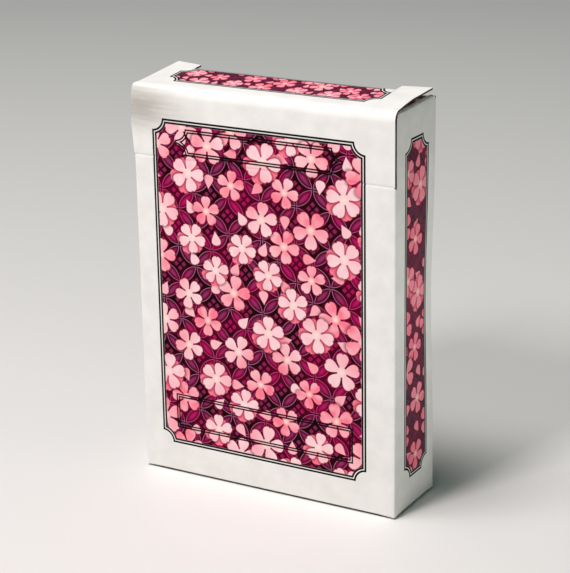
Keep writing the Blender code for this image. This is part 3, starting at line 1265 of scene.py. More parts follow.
    def stock(self, name: str) -> bpy.types.Material:
        """Make the stock of all the cards, which finds each card by its place in the deck.

        Args:
            name: Name of the material.

        Returns:
            The material.
        """
        material, graph, shader, place = self.board.begin(name, stiff=True)
        white = self.board.surface(graph, shader, place, *self.WHITE, self.GRAIN)
        x, y, z = graph.split(place)
        low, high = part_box("card_spade_ace")
        pitch = (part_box("card_joker_black")[0][1] - low[1]) / MM / (4 * self.RANKS + 1)
        thickness = (high[1] - low[1]) / MM / pitch
        slack = (1 - thickness) / 2
        count = graph.math("MULTIPLY_ADD", y, 1 / pitch, slack - low[1] / MM / pitch)
        card = graph.math("FLOOR", count)
        middle = (low[2] + high[2]) / 2 / MM
        half = ((high[0] - low[0]) / 2 / MM - self.BORDER, (high[2] - low[2]) / 2 / MM - self.BORDER)
        flat = graph.join(x, graph.math("SUBTRACT", z, middle))
        frame_distance = self.board.frame_distance(graph, flat, PrintFrame((0.0, 0.0), half, self.NOTCH))
        facing = graph.split(graph.node("ShaderNodeNewGeometry").outputs["True Normal"])[1]
        edge = self.edge(graph, card, graph.math("SUBTRACT", graph.math("FRACT", count), slack), thickness)
        back = self.back(graph, flat, frame_distance, white)
        face = self.face(graph, flat, card, frame_distance, white)
        colour = graph.blend(graph.math("GREATER_THAN", facing, self.FACING), edge, face)
        colour = graph.blend(graph.math("LESS_THAN", facing, -self.FACING), colour, back)
        graph.feed(shader.inputs["Base Color"], colour)
        shader.inputs["Roughness"].default_value = self.ROUGH
        return material

    def edge(self, graph: Graph, card: Socket, depth: Socket, thickness: float) -> Socket:
        """Colour a cut edge: each card a little lighter or darker, with a grey core and shaded borders.

        Args:
            graph: Graph of the material.
            card: Number of the card.
            depth: Depth from one face of the card.
            thickness: Thickness of a card.

        Returns:
            The colour.
        """
        chance = graph.node("ShaderNodeTexWhiteNoise", {"W": card}, noise_dimensions="1D")
        paper = graph.blend(chance.outputs["Value"], *self.EDGE)
        off = graph.math("ABSOLUTE", graph.math("SUBTRACT", depth, thickness / 2))
        paper = graph.blend(graph.ramp(off, *self.CORE_LINE), paper, self.CORE)
        # Painted shade: darken the edge near each card's faces, where the cards meet.
        return graph.blend(graph.ramp(off, *self.EDGE_SHADE), paper, self.CORE)

    def back(self, graph: Graph, flat: Socket, distance: Socket, white: Socket) -> Socket:
        """Colour a card's back: a framed lattice of interlocked rings with a white border.

        Args:
            graph: Graph of the material.
            flat: Place on the card.
            distance: Distance to the card's frame.
            white: Colour of the bare stock.

        Returns:
            The colour.
        """
        inks = self.inks
        leaf, far, _ = graph.group(self.board.groups.rings, Vector=flat, Pitch=self.BACK_PITCH).outputs
        ground = graph.blend(graph.ramp(leaf, *self.BACK_LEAF), inks.deep_magenta, inks.magenta)
        ground = graph.blend(graph.band(leaf, *self.BACK_LINE), ground, inks.pale)
        eye = graph.blend(graph.inside(far, *self.BACK_EYE), inks.deep_plum, inks.coral)
        ground = graph.blend(graph.inside(leaf, *self.BACK_LEAF_EDGE), ground, eye)
        lines = self.board.double_line(graph, distance, self.LINE)
        ground = graph.blend(graph.inside(distance, self.FIELD_EDGE, self.SOFT), white, ground)
        return graph.blend(lines, ground, inks.deep_plum)

    def face(self, graph: Graph, flat: Socket, card: Socket, distance: Socket, white: Socket) -> Socket:
        """Colour a card's face.

        Number cards have the pips of their suit, court cards a lattice field as well, and jokers a blossom.

        Args:
            graph: Graph of the stock.
            flat: Place from the middle of the face, in millimetres.
            card: Number of the card in the deck.
            distance: Distance to the frame near the card's border.
            white: Colour of the bare stock.

        Returns:
            The face's colour.
        """
        inks = self.inks
        suit = graph.math("FLOOR", graph.math("DIVIDE", card, float(self.RANKS)))
        rank = graph.math("ADD", graph.math("MODULO", card, float(self.RANKS)), 1.0)
        joker = graph.math("COMPARE", suit, self.JOKER_SUIT, self.MATCH)
        suited = graph.math("SUBTRACT", 1.0, joker)
        red = graph.math("MODULO", suit, 2.0)
        tint = graph.blend(red, self.BLACK, self.RED)
        court = graph.math("MULTIPLY", graph.math("GREATER_THAN", rank, self.LAST_NUMBER), suited)
        field = self.board.frame_distance(graph, flat, PrintFrame((0.0, 0.0), self.COURT_HALF, self.NOTCH))
        rings = graph.group(self.board.groups.rings, Vector=flat, Pitch=self.COURT_PITCH)
        lattice = graph.blend(graph.band(rings.outputs["Leaf"], *self.COURT_LINE), white, tint)
        lattice = graph.blend(graph.ramp(rings.outputs["Leaf"], *self.COURT_LEAF), lattice, inks.pale)
        inside = graph.math("MULTIPLY", graph.inside(field, self.FIELD_EDGE, self.SOFT), court)
        colour = graph.blend(inside, white, lattice)
        lines = graph.math("MULTIPLY", self.board.double_line(graph, field, self.LINE), court)
        colour = graph.blend(lines, colour, tint)
        for row in self.PIPS:
            colour = self.lay_pips(graph, flat, row, (suit, rank, suited, tint), colour, white)
        turn = graph.math("SIGN", graph.split(flat)[1])
        upright = graph.vector("MULTIPLY", flat, graph.join(turn, turn))
        corner = graph.vector("SUBTRACT", upright, (*self.MARK_PLACE, 0.0))
        spot = graph.vector("MULTIPLY", corner, (1 / self.MARK_SIZE, 1 / self.MARK_SIZE, 0.0))
        mark = graph.group(self.pip, Spot=spot, Suit=suit).outputs["Distance"]
        colour = graph.blend(graph.math("MULTIPLY", graph.inside(mark, 0.0, self.SOFT), suited), colour, tint)
        shape, radial = graph.group(
            self.board.groups.blossom, Spot=flat, Radius=self.JOKER_RADIUS, Turn=self.JOKER_TURN
        ).outputs
        petal = graph.blend(graph.math("COMPARE", rank, 1.0, self.MATCH), inks.plum, inks.coral)
        petals = graph.blend(graph.ramp(radial, *self.JOKER_TONE), inks.cream, petal)
        framed = self.board.double_line(graph, distance, self.LINE)
        colour = graph.blend(graph.math("MULTIPLY", framed, joker), colour, inks.deep_plum)
        return graph.blend(graph.math("MULTIPLY", graph.inside(shape, 0.0, self.SOFT), joker), colour, petals)

    def lay_pips(
        self,
        graph: Graph,
        flat: Socket,
        row: PipRow,
        card: tuple[Socket, Socket, Socket, Socket],
        under: Socket,
        white: Socket,
    ) -> Socket:
        """Print the pips of one row where a card's rank has them, upside down in its lower half.

        Args:
            graph: Graph of the stock.
            flat: Place from the middle of the face, in millimetres.
            row: Place of the pips and the ranks that have them.
            card: Suit, rank, mask and ink of the card.
            under: Colour that is already printed.
            white: Colour of the bare stock.

        Returns:
            The colour with the pips on it.
        """
        suit, rank, suited, tint = card
        present: Value = 0.0
        for first, last in row.ranks:
            spread = (last - first) / 2 + self.MATCH
            present = graph.math("MAXIMUM", present, graph.math("COMPARE", rank, (first + last) / 2, spread))
        x, y, _ = graph.split(flat)
        if row.across:
            x = graph.math("ABSOLUTE", x)
        size: Value = self.PIP_SIZE
        if row.up:
            y_mirrored = graph.math("ABSOLUTE", y)
        else:
            y_mirrored = y
            ace = graph.math("COMPARE", rank, 1.0, self.MATCH)
            size = graph.math("MULTIPLY_ADD", ace, self.PIP_SIZE * self.ACE_GROWTH, self.PIP_SIZE)
        if (7, 8) in row.ranks:
            seven = graph.math("COMPARE", rank, 7.0, self.MATCH)
            seven_below = graph.math("MULTIPLY", seven, graph.math("LESS_THAN", y, 0.0))
            present = graph.math("SUBTRACT", present, seven_below)
        present = graph.math("MULTIPLY", present, suited)
        off = graph.join(graph.math("SUBTRACT", x, row.across), graph.math("SUBTRACT", y_mirrored, row.up))
        spot = graph.vector("DIVIDE", off, graph.join(size, size, 1.0))
        halo = graph.inside(graph.vector("LENGTH", spot), self.HALO, self.SOFT)
        colour = graph.blend(graph.math("MULTIPLY", halo, present), under, white)
        pip = graph.group(self.pip, Spot=spot, Suit=suit).outputs["Distance"]
        return graph.blend(graph.math("MULTIPLY", graph.inside(pip, 0.0, self.SOFT), present), colour, tint)


@dataclass
class WrapBlank:
    """Blank of the walls and the bottom, which is wrapped around the box and glued at the rear left.

    Places across it run from the left side's rear edge over the front, the right side and the back to the
    glue flap. Places along it are heights, and they go on under the box along the bottom's folds. The dust
    seam is the height where the dust flaps' pieces take over, the dust gap their distance from the rear.
    """

    carton: Carton
    board: Board
    dust_seam: float
    dust_gap: float
    lap_gap: float = 0.03 * MM
    raw_gap: float = 0.05 * MM
    glue_width: float = 10.0 * MM
    glue_slant: float = 2.0 * MM
    corner_run: float = 6.0 * MM
    corner_rise: float = 0.55 * MM
    hair: float = 0.001 * MM
    bottom_setback: float = 0.45 * MM
    bottom_inset: float = 0.25 * MM
    bottom_tab: float = 7.0 * MM
    slit_drop: float = 0.5 * MM
    notch_radius: float = 9.5 * MM
    notch_steps: int = 24
    lowest_row: float = 1.0 * MM

    def __post_init__(self) -> None:
        """Lay out the track around the box and the two tracks under it."""
        carton = self.carton
        self.depth = carton.back - carton.front
        self.width = 2 * carton.side
        self.lap = carton.board + self.lap_gap
        radius = carton.edge_fold
        quarter = math.pi / 2
        walls = (
            self.depth - self.raw_gap - radius,
            self.width - 2 * radius,
            self.depth - 2 * radius,
            self.width - 2 * radius - self.lap,
        )
        edge = Stretch.fold(radius, quarter)
        around = [stretch for wall in walls for stretch in (Stretch(wall), edge)]
        start = (-carton.side, carton.back - self.raw_gap)
        self.plan = Track(start, -quarter, (*around, Stretch(self.glue_width)), 1.0)
        marks = self.plan.marks()
        self.left, self.front, self.right, self.back, self.glue = zip(marks[0::2], marks[1::2])
        self.panels = (self.left, self.front, self.right, self.back)
        self.foot_run = self.lap * quarter
        under = (Stretch.fold(self.lap, quarter), Stretch(self.depth))
        self.inner_foot = Track((0.0, self.lap + self.lap), -quarter, under, 1.0)
        self.outer_foot = Track((0.0, self.lap), -quarter, under, 1.0)

    def is_panel(self, across: float) -> bool:
        """Tell a place inside a panel from one on its upright edges."""
        return any(begin + self.hair < across < end - self.hair for begin, end in self.panels)

    def fold(self, across: float, along: float, inwards: float) -> Place:
        """Wrap a place of the blank around the box.

        Args:
            across: Place across the blank.
            along: Place along the blank.
            inwards: Depth from the outer face.

        Returns:
            The point of the box.
        """
        radius = self.carton.edge_fold
        is_outer = self.back[0] - radius <= across <= self.back[1] + radius
        foot = self.outer_foot if is_outer else self.inner_foot
        below = foot.start[1] - along
        height = along
        if below > 0 and self.is_panel(across):
            inwards, height = foot.at(below, inwards)
        elif below > 0:
            height = foot.at(below)[1]
        x, y = self.plan.at(across, inwards)
        return x, y, height

    def outline(self) -> list[Point]:
        """List the blank's corners, along its foot from the left and back along its top."""
        return [*self.lower_edge(), *self.upper_edge()]

    def lower_edge(self) -> list[Point]:
        """List the corners of the bottom's tabs and of the glue flap's foot.

        Returns:
            The corners from the left to the right.
        """
        inset = self.bottom_inset
        tab = self.bottom_tab
        foot = self.inner_foot.start[1] - self.foot_run
        tip = foot - tab
        points: list[Point] = []
        for begin, end in self.panels[:3]:
            points += [(begin, foot), (begin + inset, foot), (begin + inset + tab, tip)]
            points += [(end - inset - tab, tip), (end - inset, foot), (end, foot)]
        begin, end = self.back
        foot = self.outer_foot.start[1] - self.foot_run
        tip = foot - (self.depth - self.lap - self.bottom_setback)
        points += [(begin, foot), (begin + inset, foot), (begin + inset, tip)]
        points += [(end - inset, tip), (end - inset, foot), (end, foot)]
        return points + [(place, self.inner_foot.start[1]) for place in self.glue]

    def upper_edge(self) -> list[Point]:
        """List the corners of the rims, the slits and the thumb notch.

        Returns:
            The corners from the right to the left.
        """
        carton = self.carton
        seam = self.dust_seam
        top = carton.back_top
        corner = top + self.corner_rise
        slit = carton.board + carton.slit - carton.edge_fold
        slit_foot = carton.score - self.slit_drop
        right_slit = self.right[0] + slit
        left_slit = self.left[1] - slit
        right_shoulder = self.right[1] - (self.dust_gap - carton.edge_fold)
        left_shoulder = self.dust_gap - self.raw_gap
        points = [(self.glue[1], seam - self.glue_slant), (self.glue[0], seam), (self.back[1], corner)]
        points += [(self.back[1] - self.corner_run, top), *self.thumb_notch()]
        points += [(self.back[0] + self.corner_run, top), (self.right[1], corner)]
        points += [(right_shoulder, corner), (right_shoulder, seam), (right_slit, seam)]
        points += [(right_slit, carton.score), (self.right[0], slit_foot), (self.front[1], carton.score)]
        points += [(self.front[0], carton.score), (self.left[1], slit_foot), (left_slit, carton.score)]
        points += [(left_slit, seam), (left_shoulder, seam), (left_shoulder, corner)]
        return points + [(self.left[0], corner)]

    def thumb_notch(self) -> list[Point]:
        """List the half-round notch in the back's top edge.

        Returns:
            The corners from its far end to its near one.
        """
        middle = self.back[0] + (self.width / 2 - self.carton.edge_fold)
        points = []
        for step in range(self.notch_steps + 1):
            angle = math.pi * step / self.notch_steps
            drop = self.notch_radius * math.sin(angle)
            points.append((middle + self.notch_radius * math.cos(angle), self.carton.back_top - drop))
        return points

    def cuts_across(self) -> list[float]:
        """List the creases of the upright edges, and even ones between them."""
        even = [cut for begin, end in self.panels for cut in self.board.grid(begin, end)]
        return self.plan.creases(self.board.fold_steps) + even

    def cuts_along(self) -> list[float]:
        """List even rows, the rows of the score line's groove and the creases of the bottom's folds.

        Returns:
            The places along the blank.
        """
        steps = self.board.fold_steps
        cuts = self.board.grid(self.lowest_row, self.carton.back_top)
        cuts += [self.carton.score - row for row in self.board.groove_rows()]
        for foot in (self.outer_foot, self.inner_foot):
            cuts += [foot.start[1] - self.foot_run * step / steps for step in range(steps + 1)]
        return cuts

    def print_slot(self, across: float, along: float) -> int:
        """Choose the print of the front, 0, a side, 1, or the back, 2.

        Args:
            across: Place across the blank.
            along: Place along the blank, not used.

        Returns:
            The number of the print.
        """
        if self.front[0] <= across <= self.front[1]:
            return 0
        return 2 if self.back[0] <= across <= self.back[1] else 1


@dataclass
class LidBlank:
    """Blank of the lid, from the score line over the top to the tuck flap's tip.

    Places along it are distances from the score line.
    """

    carton: Carton
    board: Board
    ear_width: float = 6.8 * MM
    ear_slant: float = 1.2 * MM
    ear_slit: float = 0.06 * MM
    shoulder_run: float = 4.6 * MM
    strip_seam: float = 7.0 * MM
    strip_steps: int = 7
    strip_gap: float = 0.08 * MM
    tuck_seam: float = 1.5 * MM
    arch_height: float = 0.42 * MM
    arch_power: int = 4

    def __post_init__(self) -> None:
        """Lay out the track over the lid's folds and the places on it."""
        carton = self.carton
        self.track = self.over_the_top()
        self.fold_start, self.flat_start, self.tuck_start, self.tail_start, self.tip = self.track.marks()[1:6]
        flat_y = self.track.at(self.flat_start)[0]
        self.ear_tip = self.flat_start + (carton.ear_tip - flat_y) / math.cos(carton.lid_spring)
        flat = Stretch(self.track.stretches[2].length + carton.tuck_radius)
        self.ear_track = Track(self.track.start, self.track.heading, (*self.track.stretches[:2], flat), -1.0)
        self.half = carton.lid_half
        self.wide = carton.side - self.strip_gap
        self.ear_inner = self.half - self.ear_width
        self.rear = self.tuck_start - self.tuck_seam
        steps = 2 * self.board.fold_steps
        creases = self.track.creases(steps)
        self.front_creases = creases[: steps + 1]
        self.tuck_creases = creases[steps + 1 :]
        self.columns = self.board.grid(-self.half, self.half)

    def over_the_top(self) -> Track:
        """Lay the track of the outer face.

        Returns:
            The track: the strip, the front fold, the top, the tuck flap's bend and the tuck flap.
        """
        carton = self.carton
        spring = carton.lid_spring
        flat_start = carton.front + carton.lid_radius * (1 - math.sin(spring))
        flat = (carton.tuck_y - flat_start) / math.cos(spring)
        bend = math.pi / 2 + spring
        tail = carton.tuck_z - carton.tuck_radius * math.cos(spring) - carton.flap_tip
        stretches = (
            Stretch(carton.lid_fold - carton.score),
            Stretch.fold(carton.lid_radius, spring - math.pi / 2),
            Stretch(flat),
            Stretch.fold(carton.tuck_radius, -bend),
            Stretch(tail),
        )
        return Track((carton.front, carton.score), math.pi / 2, stretches, -1.0)

    def arch(self, across: float, along: float) -> float:
        """Find how far the top panel stands up from flat, most at its right end."""
        share = max(0.0, min(1.0, (along - self.flat_start) / (self.ear_tip - self.flat_start)))
        return self.arch_height * 4 * share * (1 - share) * max(0.0, across / self.half) ** self.arch_power

    def fold(self, across: float, along: float, depth: float) -> Place:
        """Fold a place of the blank over the box."""
        y, z = self.track.at(along, depth)
        return across, y, z + self.arch(across, along)

    def fold_flat(self, across: float, along: float, depth: float) -> Place:
        """Fold a place of the top panel, whose ears stay flat."""
        y, z = self.ear_track.at(along, depth)
        return across, y, z + self.arch(across, along)

    def print_slot(self, across: float, along: float) -> int:
        """Choose the front's finish, 0, below the middle of the front fold, and the top's, 1, above it."""
        return 0 if along < (self.fold_start + self.flat_start) / 2 else 1

    def strip_outline(self) -> list[Point]:
        """List the corners of the strip above the score line."""
        wide, seam = self.wide, self.strip_seam
        return [(-wide, 0.0), (wide, 0.0), (wide, seam), (-wide, seam)]

    def strip_rows(self) -> list[float]:
        """List even rows of the strip and the rows of the score line's groove."""
        even = [self.strip_seam * step / self.strip_steps for step in range(1, self.strip_steps)]
        return even + self.board.groove_rows()

    def top_outline(self) -> list[Point]:
        """List the corners of the top panel with the front fold and the two ears.

        Returns:
            The corners from the front left round to the right.
        """
        wide, half, inner = self.wide, self.half, self.ear_inner
        root = self.ear_tip - self.ear_slant
        points = [(-wide, self.strip_seam), (wide, self.strip_seam), (wide, self.fold_start)]
        points += [(half, self.flat_start), (half, self.ear_tip), (inner, root), (inner, self.rear)]
        points += [(-inner, self.rear), (-inner, root), (-half, self.ear_tip)]
        return points + [(-half, self.flat_start), (-wide, self.fold_start)]

    def top_rows(self) -> list[float]:
        """List the creases of the front fold, and even rows before and behind it."""
        even = self.board.grid(self.strip_seam, self.fold_start) + self.board.grid(self.flat_start, self.rear)
        return self.front_creases + even

    def tuck_outline(self) -> list[Point]:
        """List the corners of the tuck flap with its neck and shoulders.

        Returns:
            The corners from the rear of the top round to the right.
        """
        flap = self.carton.flap_half
        neck = self.ear_inner - self.ear_slit
        shoulder = self.tuck_start + self.shoulder_run
        points = [(-neck, self.rear), (neck, self.rear), (neck, shoulder), (flap, shoulder), (flap, self.tip)]
        return points + [(-flap, self.tip), (-flap, shoulder), (-neck, shoulder)]

    def tuck_rows(self) -> list[float]:
        """List the creases of the tuck flap's bend and even rows beyond it."""
        return self.tuck_creases + self.board.grid(self.tail_start, self.tip)


@dataclass
class TuckBox:
    """Folded box: walls and bottom as one wrap, the lid over its two folds, the tuck and the dust flaps."""

    carton: Carton
    board: Board
    finish: BoardFinish
    front_panel: Panel = Panel(
        "front_print",
        Plane.FRONT,
        PrintFrame((-1.0, 45.87), (26.55, 38.53)),
        plaques=(
            PrintFrame((-0.7, 79.5), (20.94, 3.04), 2.6),
            PrintFrame((-0.67, 15.55), (22.93, 4.22), 0.0),
        ),
        # Painted shade on the lid strip's left end, below the front fold.
        wear=PaintedShade((-33.0, 86.4), (20.0, 8.0), 0.95),
    )
    top_panel: Panel = Panel(
        "top_print",
        Plane.TOP,
        PrintFrame((-0.95, 0.05), (26.45, 5.1)),
        shift=(31.0, 17.0),
        repeat=1.6,
        # Painted sheen over the top's lattice.
        dusk=0.65,
        warmth=0.55,
    )
    side_panel: Panel = Panel(
        "side_print",
        Plane.SIDE,
        PrintFrame((0.5, 45.9), (5.65, 38.6)),
        shift=(57.0, 5.0),
        repeat=1.1,
        # Painted sheen over the side's lattice.
        dusk=0.65,
        warmth=0.9,
    )
    back_panel: Panel = Panel(
        "back_print", Plane.FRONT, PrintFrame((0.0, 42.8), (26.55, 35.5)), shift=(83.0, 29.0)
    )
    flap_panel: Panel = Panel(
        "flap_print", Plane.TOP, PrintFrame((0.0, 0.0), (31.2, 30.0), 0.0), shift=(11.0, 41.0), lined=False
    )
    inside_grain: float = 0.35
    edge_grain: float = 0.8
    score_bend: float = 1.5 * MM
    fold_lead: float = 1.5 * MM
    tuck_lead: float = 0.5 * MM
    ear_corner: float = 0.35 * MM
    flap_corner: float = 6.0 * MM
    dust_gap: float = 0.5 * MM
    dust_seam_drop: float = 2.0 * MM
    dust_radius: float = 0.9 * MM
    dust_slope: float = math.radians(3)
    rim_lift: float = 0.45 * MM
    dust_front_gap: float = 1.95 * MM
    dust_notch_gap: float = 0.1 * MM
    dust_notch_reach: float = 1.1 * MM
    dust_notch_depth: float = 1.4 * MM
    dust_straight: float = 5.0 * MM
    dust_front_taper: float = 4.2 * MM
    dust_back_taper: float = 3.2 * MM
    dust_corner: float = 2.5 * MM
    dust_sweep: Point = (0.55 * MM, 0.65 * MM)
    dust_ease: Point = (0.1 * MM, 0.8 * MM)
    dust_bend_lead: float = 0.4 * MM
    dust_bend_reach: float = 1.5

    def __post_init__(self) -> None:
        """Make the finishes of the panels and lay out the lid."""
        finish = self.finish
        self.front_print = finish.printed(self.front_panel)
        self.top_print = finish.printed(self.top_panel)
        self.side_print = finish.printed(self.side_panel)
        self.back_print = finish.printed(self.back_panel)
        self.flap_print = finish.printed(self.flap_panel)
        self.white = finish.plain("bare_board", *finish.COATED, finish.COATED_GRAIN, finish.ROUGH)
        self.inside = finish.plain("board_inside", *finish.RAW, self.inside_grain, finish.RAW_ROUGH)
        # Cut edges in the dark core grey, which also paints the shade in the slits, gaps and under the foot.
        self.edge = finish.plain("board_edge", *finish.CORE, self.edge_grain, finish.RAW_ROUGH)
        self.blank = LidBlank(self.carton, self.board)

    @property
    def dust_seam(self) -> float:
        """Height on the side where the dust flap's piece takes over from the wrap."""
        return self.carton.dust_hinge - self.dust_seam_drop

    def wrap(self) -> bpy.types.Object:
        """Make the walls and the bottom.

        Returns:
            The wrap.
        """
        blank = WrapBlank(self.carton, self.board, self.dust_seam, self.dust_gap)
        piece = self.board.make(
            "box_wrap",
            blank.outline(),
            blank.fold,
            blank.cuts_across(),
            blank.cuts_along(),
            blank.print_slot,
            (self.front_print, self.side_print, self.back_print, self.inside, self.edge),
        )
        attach(piece, "box")
        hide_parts("tuck_box")
        return piece

    def lid(self) -> list[bpy.types.Object]:
        """Make the lid in three pieces, one for each fold that it bends at."""
        return [self.lid_strip(), self.lid_top(), self.tuck()]

    def lid_strip(self) -> bpy.types.Object:
        """Make the strip above the score line, the lid's lowest fold.

        Returns:
            The strip.
        """
        blank = self.blank
        piece = self.board.make(
            "lid_strip",
            blank.strip_outline(),
            blank.fold,
            blank.columns,
            blank.strip_rows(),
            blank.print_slot,
            (self.front_print, self.top_print, self.inside, self.edge),
        )
        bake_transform(piece)
        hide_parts("lid_front")
        return piece

    def lid_top(self) -> bpy.types.Object:
        """Make the top panel, which bends at the round front fold.

        Returns:
            The panel.
        """
        blank = self.blank
        piece = self.board.make(
            "lid_top_panel",
            blank.top_outline(),
            blank.fold_flat,
            blank.columns,
            blank.top_rows(),
            blank.print_slot,
            (self.front_print, self.top_print, self.inside, self.edge),
            ((4, self.ear_corner), (9, self.ear_corner)),
        )
        bend_end = (0.0, *blank.track.at(blank.flat_start))
        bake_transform(piece)
        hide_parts("lid_top")
        return piece

    def tuck(self) -> bpy.types.Object:
        """Make the tuck flap, which bends at its own round fold.

        Returns:
            The flap.
        """
        blank = self.blank
        piece = self.board.make(
            "tuck_panel",
            blank.tuck_outline(),
            blank.fold,
            blank.columns,
            blank.tuck_rows(),
            blank.print_slot,
            (self.white, self.top_print, self.inside, self.edge),
            ((4, self.flap_corner), (5, self.flap_corner)),
        )
        bend_start = (0.0, *blank.track.at(blank.tuck_start - self.tuck_lead))
        bend_end = (0.0, *blank.track.at(blank.tail_start))
        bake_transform(piece)
        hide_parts("tuck_flap")
        return piece

    def dust_outline(self, marks: Sequence[float]) -> list[Point]:
        """List the corners of a dust flap with the top of its side.

        Args:
            marks: Places along the flap where its straights and its bend start and end.

        Returns:
            The corners, as places from front to back and along the flap.
        """
        carton = self.carton
        front = carton.front + self.dust_front_gap
        slit_edge = carton.front + carton.board + carton.slit
        back = carton.back - self.dust_gap
        notch = back - self.dust_notch_gap - self.dust_notch_depth
        _, bend_start, bend_end, tip = marks
        root = bend_end - self.dust_radius
        points = [(slit_edge, 0.0), (back, 0.0), (back, root + self.dust_notch_reach)]
        points += [(notch, root + self.dust_notch_reach), (notch - self.dust_back_taper, tip)]
        points += [(front + self.dust_front_taper, tip), (front, root + self.dust_straight)]
        points += [(front, bend_end), (front - self.dust_sweep[0], bend_start + self.dust_sweep[1])]
        points += [(slit_edge + self.dust_ease[0], bend_start)]
        return points + [(slit_edge, bend_start - self.dust_ease[1])]

    def dust_flap(self, name: str, node: str, hand: float) -> bpy.types.Object:
        """Make a dust flap with the top of its side, which bends over the side's rim.

        Args:
            name: Name of the piece.
            node: CAD node that it stands for.
            hand: 1 for the right side and -1 for the left.

        Returns:
            The flap.
        """
        carton = self.carton
        seam = self.dust_seam
        climb = carton.dust_hinge - seam
        reach = carton.side - carton.dust_tip - self.dust_radius
        bend = Stretch.fold(self.dust_radius, -math.pi / 2 - self.dust_slope)
        track = Track((0.0, seam), math.pi / 2, (Stretch(climb), bend, Stretch(reach)), -1.0)
        marks = track.marks()
        outline = self.dust_outline(marks)
        front = carton.front + self.dust_front_gap
        back = carton.back - self.dust_gap

        def fold(across: float, along: float, depth: float) -> Place:
            """Fold a place of the flap over the side's rim.

            Args:
                across: Place from front to back.
                along: Place along the flap.
                depth: Depth from the outer face.

            Returns:
                The point of the box.
            """
            inwards, z = track.at(along, depth)
            share = max(0.0, min(1.0, (across - front) / (back - front)))
            lift = self.rim_lift * share * share * (3 - 2 * share) * min(1.0, along / climb)
            return hand * (carton.side - inwards), across, z + lift

        def print_slot(across: float, along: float) -> int:
            """Choose the flap's only print."""
            return 0

        piece = self.board.make(
            name,
            outline,
            fold,
            self.board.grid(outline[0][0], back),
            track.creases(self.board.fold_steps) + self.board.grid(marks[2], marks[3]),
            print_slot,
            (self.flap_print, self.inside, self.edge),
            ((4, self.dust_corner), (5, self.dust_corner)),
        )
        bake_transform(piece)
        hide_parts(node)
        return piece


class Deck:
    """Cards, which keep the shapes of their nodes."""

    def __init__(self, finish: CardFinish) -> None:
        """Make the card stock."""
        self.stock = finish.stock("card_stock_printed")

    def dress(self) -> int:
        """Give every card its stock.

        Returns:
            The number of cards.
        """
        count = 0
        for name, node in frame["nodes"].items():
            if name.startswith("card_"):
                node.data.materials.clear()
                node.data.materials.append(self.stock)
                count += 1
        return count


@dataclass(frozen=True)
class AreaLight:
    """A square light: its name, place, length of side, power in watts and tint."""

    name: str
    place: Place
    size: float
    power: float
    tint: Place


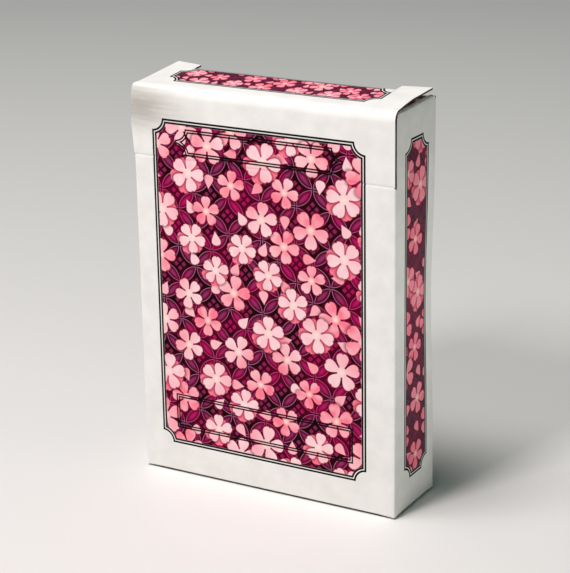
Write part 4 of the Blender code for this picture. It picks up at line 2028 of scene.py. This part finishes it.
@dataclass(frozen=True)
class Studio:
    """Plain floor, soft light and the camera."""

    lens: float = 121.62
    sensor: float = 36.0
    azimuth: float = math.radians(30.028)
    elevation: float = math.radians(18.412)
    roll: float = math.radians(-0.949)
    camera_place: Place = (0.20496, -0.35450, 0.18258)
    floor_size: float = 4.0
    floor_colour: Colour = ink(236, 236, 232)
    floor_rough: float = 0.6
    surround: Colour = (0.58, 1.0, 0.88, 1.0)
    surround_strength: float = 0.065
    areas: tuple[AreaLight, ...] = (
        AreaLight("key", (-0.13, -0.5, 0.5), 0.15, 2.4, (1.0, 0.93, 0.945)),
        AreaLight("top", (-0.2, -0.3, 1.3), 0.5, 11.8, (1.0, 0.945, 0.965)),
    )
    area_target: Place = (0.0, 0.0, 0.045)
    kicker_place: Place = (0.55, 0.0, 0.09)
    kicker_target: Place = (0.0, 0.0, 0.048)
    kicker_power: float = 4.7
    kicker_spread: float = math.radians(10.0)
    kicker_softness: float = 0.04

    def camera(self) -> None:
        """Set the camera at the photograph's angle."""
        data = bpy.data.cameras.new("camera")
        data.sensor_fit = "HORIZONTAL"
        data.sensor_width = self.sensor
        data.lens = self.lens
        camera = bpy.data.objects.new("camera", data)
        flat = math.cos(self.elevation)
        ahead = (math.sin(self.azimuth) * flat, -math.cos(self.azimuth) * flat, math.sin(self.elevation))
        back = Vector(ahead)
        right = Vector((math.cos(self.azimuth), math.sin(self.azimuth), 0.0))
        up = back.cross(right)
        turned_right = math.cos(self.roll) * right + math.sin(self.roll) * up
        turned_up = back.cross(turned_right)
        turn = Matrix((turned_right, turned_up, back)).transposed()
        camera.matrix_world = Matrix.Translation(self.camera_place) @ turn.to_4x4()
        bpy.context.scene.collection.objects.link(camera)
        bpy.context.scene.camera = camera

    def floor(self) -> None:
        """Lay a pale floor."""
        mesh = bmesh.new()
        bmesh.ops.create_grid(mesh, x_segments=1, y_segments=1, size=self.floor_size)
        data = bpy.data.meshes.new("floor")
        mesh.to_mesh(data)
        mesh.free()
        material = bpy.data.materials.new("floor")
        material.use_nodes = True
        shader = material.node_tree.nodes["Principled BSDF"]
        shader.inputs["Base Color"].default_value = self.floor_colour
        shader.inputs["Roughness"].default_value = self.floor_rough
        data.materials.append(material)
        floor = bpy.data.objects.new("floor", data)
        bpy.context.scene.collection.objects.link(floor)

    def lights(self) -> None:
        """Hang a near key light at the front left, a larger one above and the kicker, in an even surround."""
        world = bpy.data.worlds.new("surround")
        world.use_nodes = True
        surround = world.node_tree.nodes["Background"]
        surround.inputs["Color"].default_value = self.surround
        surround.inputs["Strength"].default_value = self.surround_strength
        bpy.context.scene.world = world
        for area in self.areas:
            data = bpy.data.lights.new(area.name, "AREA")
            data.size = area.size
            data.energy = area.power
            data.color = area.tint
            self.hang(data, area.place, self.area_target)
        self.kicker()

    def kicker(self) -> None:
        """Hang a soft narrow light to the right, which fades out over the height of the box's side."""
        data = bpy.data.lights.new("kicker", "SPOT")
        data.energy = self.kicker_power
        data.spot_size = self.kicker_spread
        data.spot_blend = 1.0
        data.shadow_soft_size = self.kicker_softness
        self.hang(data, self.kicker_place, self.kicker_target)

    @staticmethod
    def hang(data: bpy.types.Light, place: Place, target: Place) -> None:
        """Hang a light and turn it towards a target.

        Args:
            data: The light.
            place: Where it hangs.
            target: What it looks at.
        """
        light = bpy.data.objects.new(data.name, data)
        light.location = place
        light.rotation_euler = (Vector(target) - Vector(place)).to_track_quat("-Z", "Y").to_euler()
        bpy.context.scene.collection.objects.link(light)

    def colours(self) -> None:
        """Show colours as they are."""
        bpy.context.scene.view_settings.view_transform = "Standard"


def main() -> None:
    """Build the box, dress the cards and set the stage."""
    logging.basicConfig(level=logging.INFO, format="%(name)s: %(message)s")
    carton = Carton.from_frame()
    finish = BoardFinish(PrintGroups(PrintInks()))
    box = TuckBox(carton, Board(carton), finish)
    pieces = [box.wrap(), *box.lid()]
    pieces.append(box.dust_flap("left_dust_flap", "dust_flap_left", -1.0))
    pieces.append(box.dust_flap("right_dust_flap", "dust_flap_right", 1.0))
    for piece in pieces:
        log.info("%s: %d faces", piece.name, len(piece.data.polygons))
    log.info("cards dressed: %d", Deck(CardFinish(finish)).dress())
    studio = Studio()
    studio.camera()
    studio.floor()
    studio.lights()
    studio.colours()


if __name__ == "__main__":
    main()
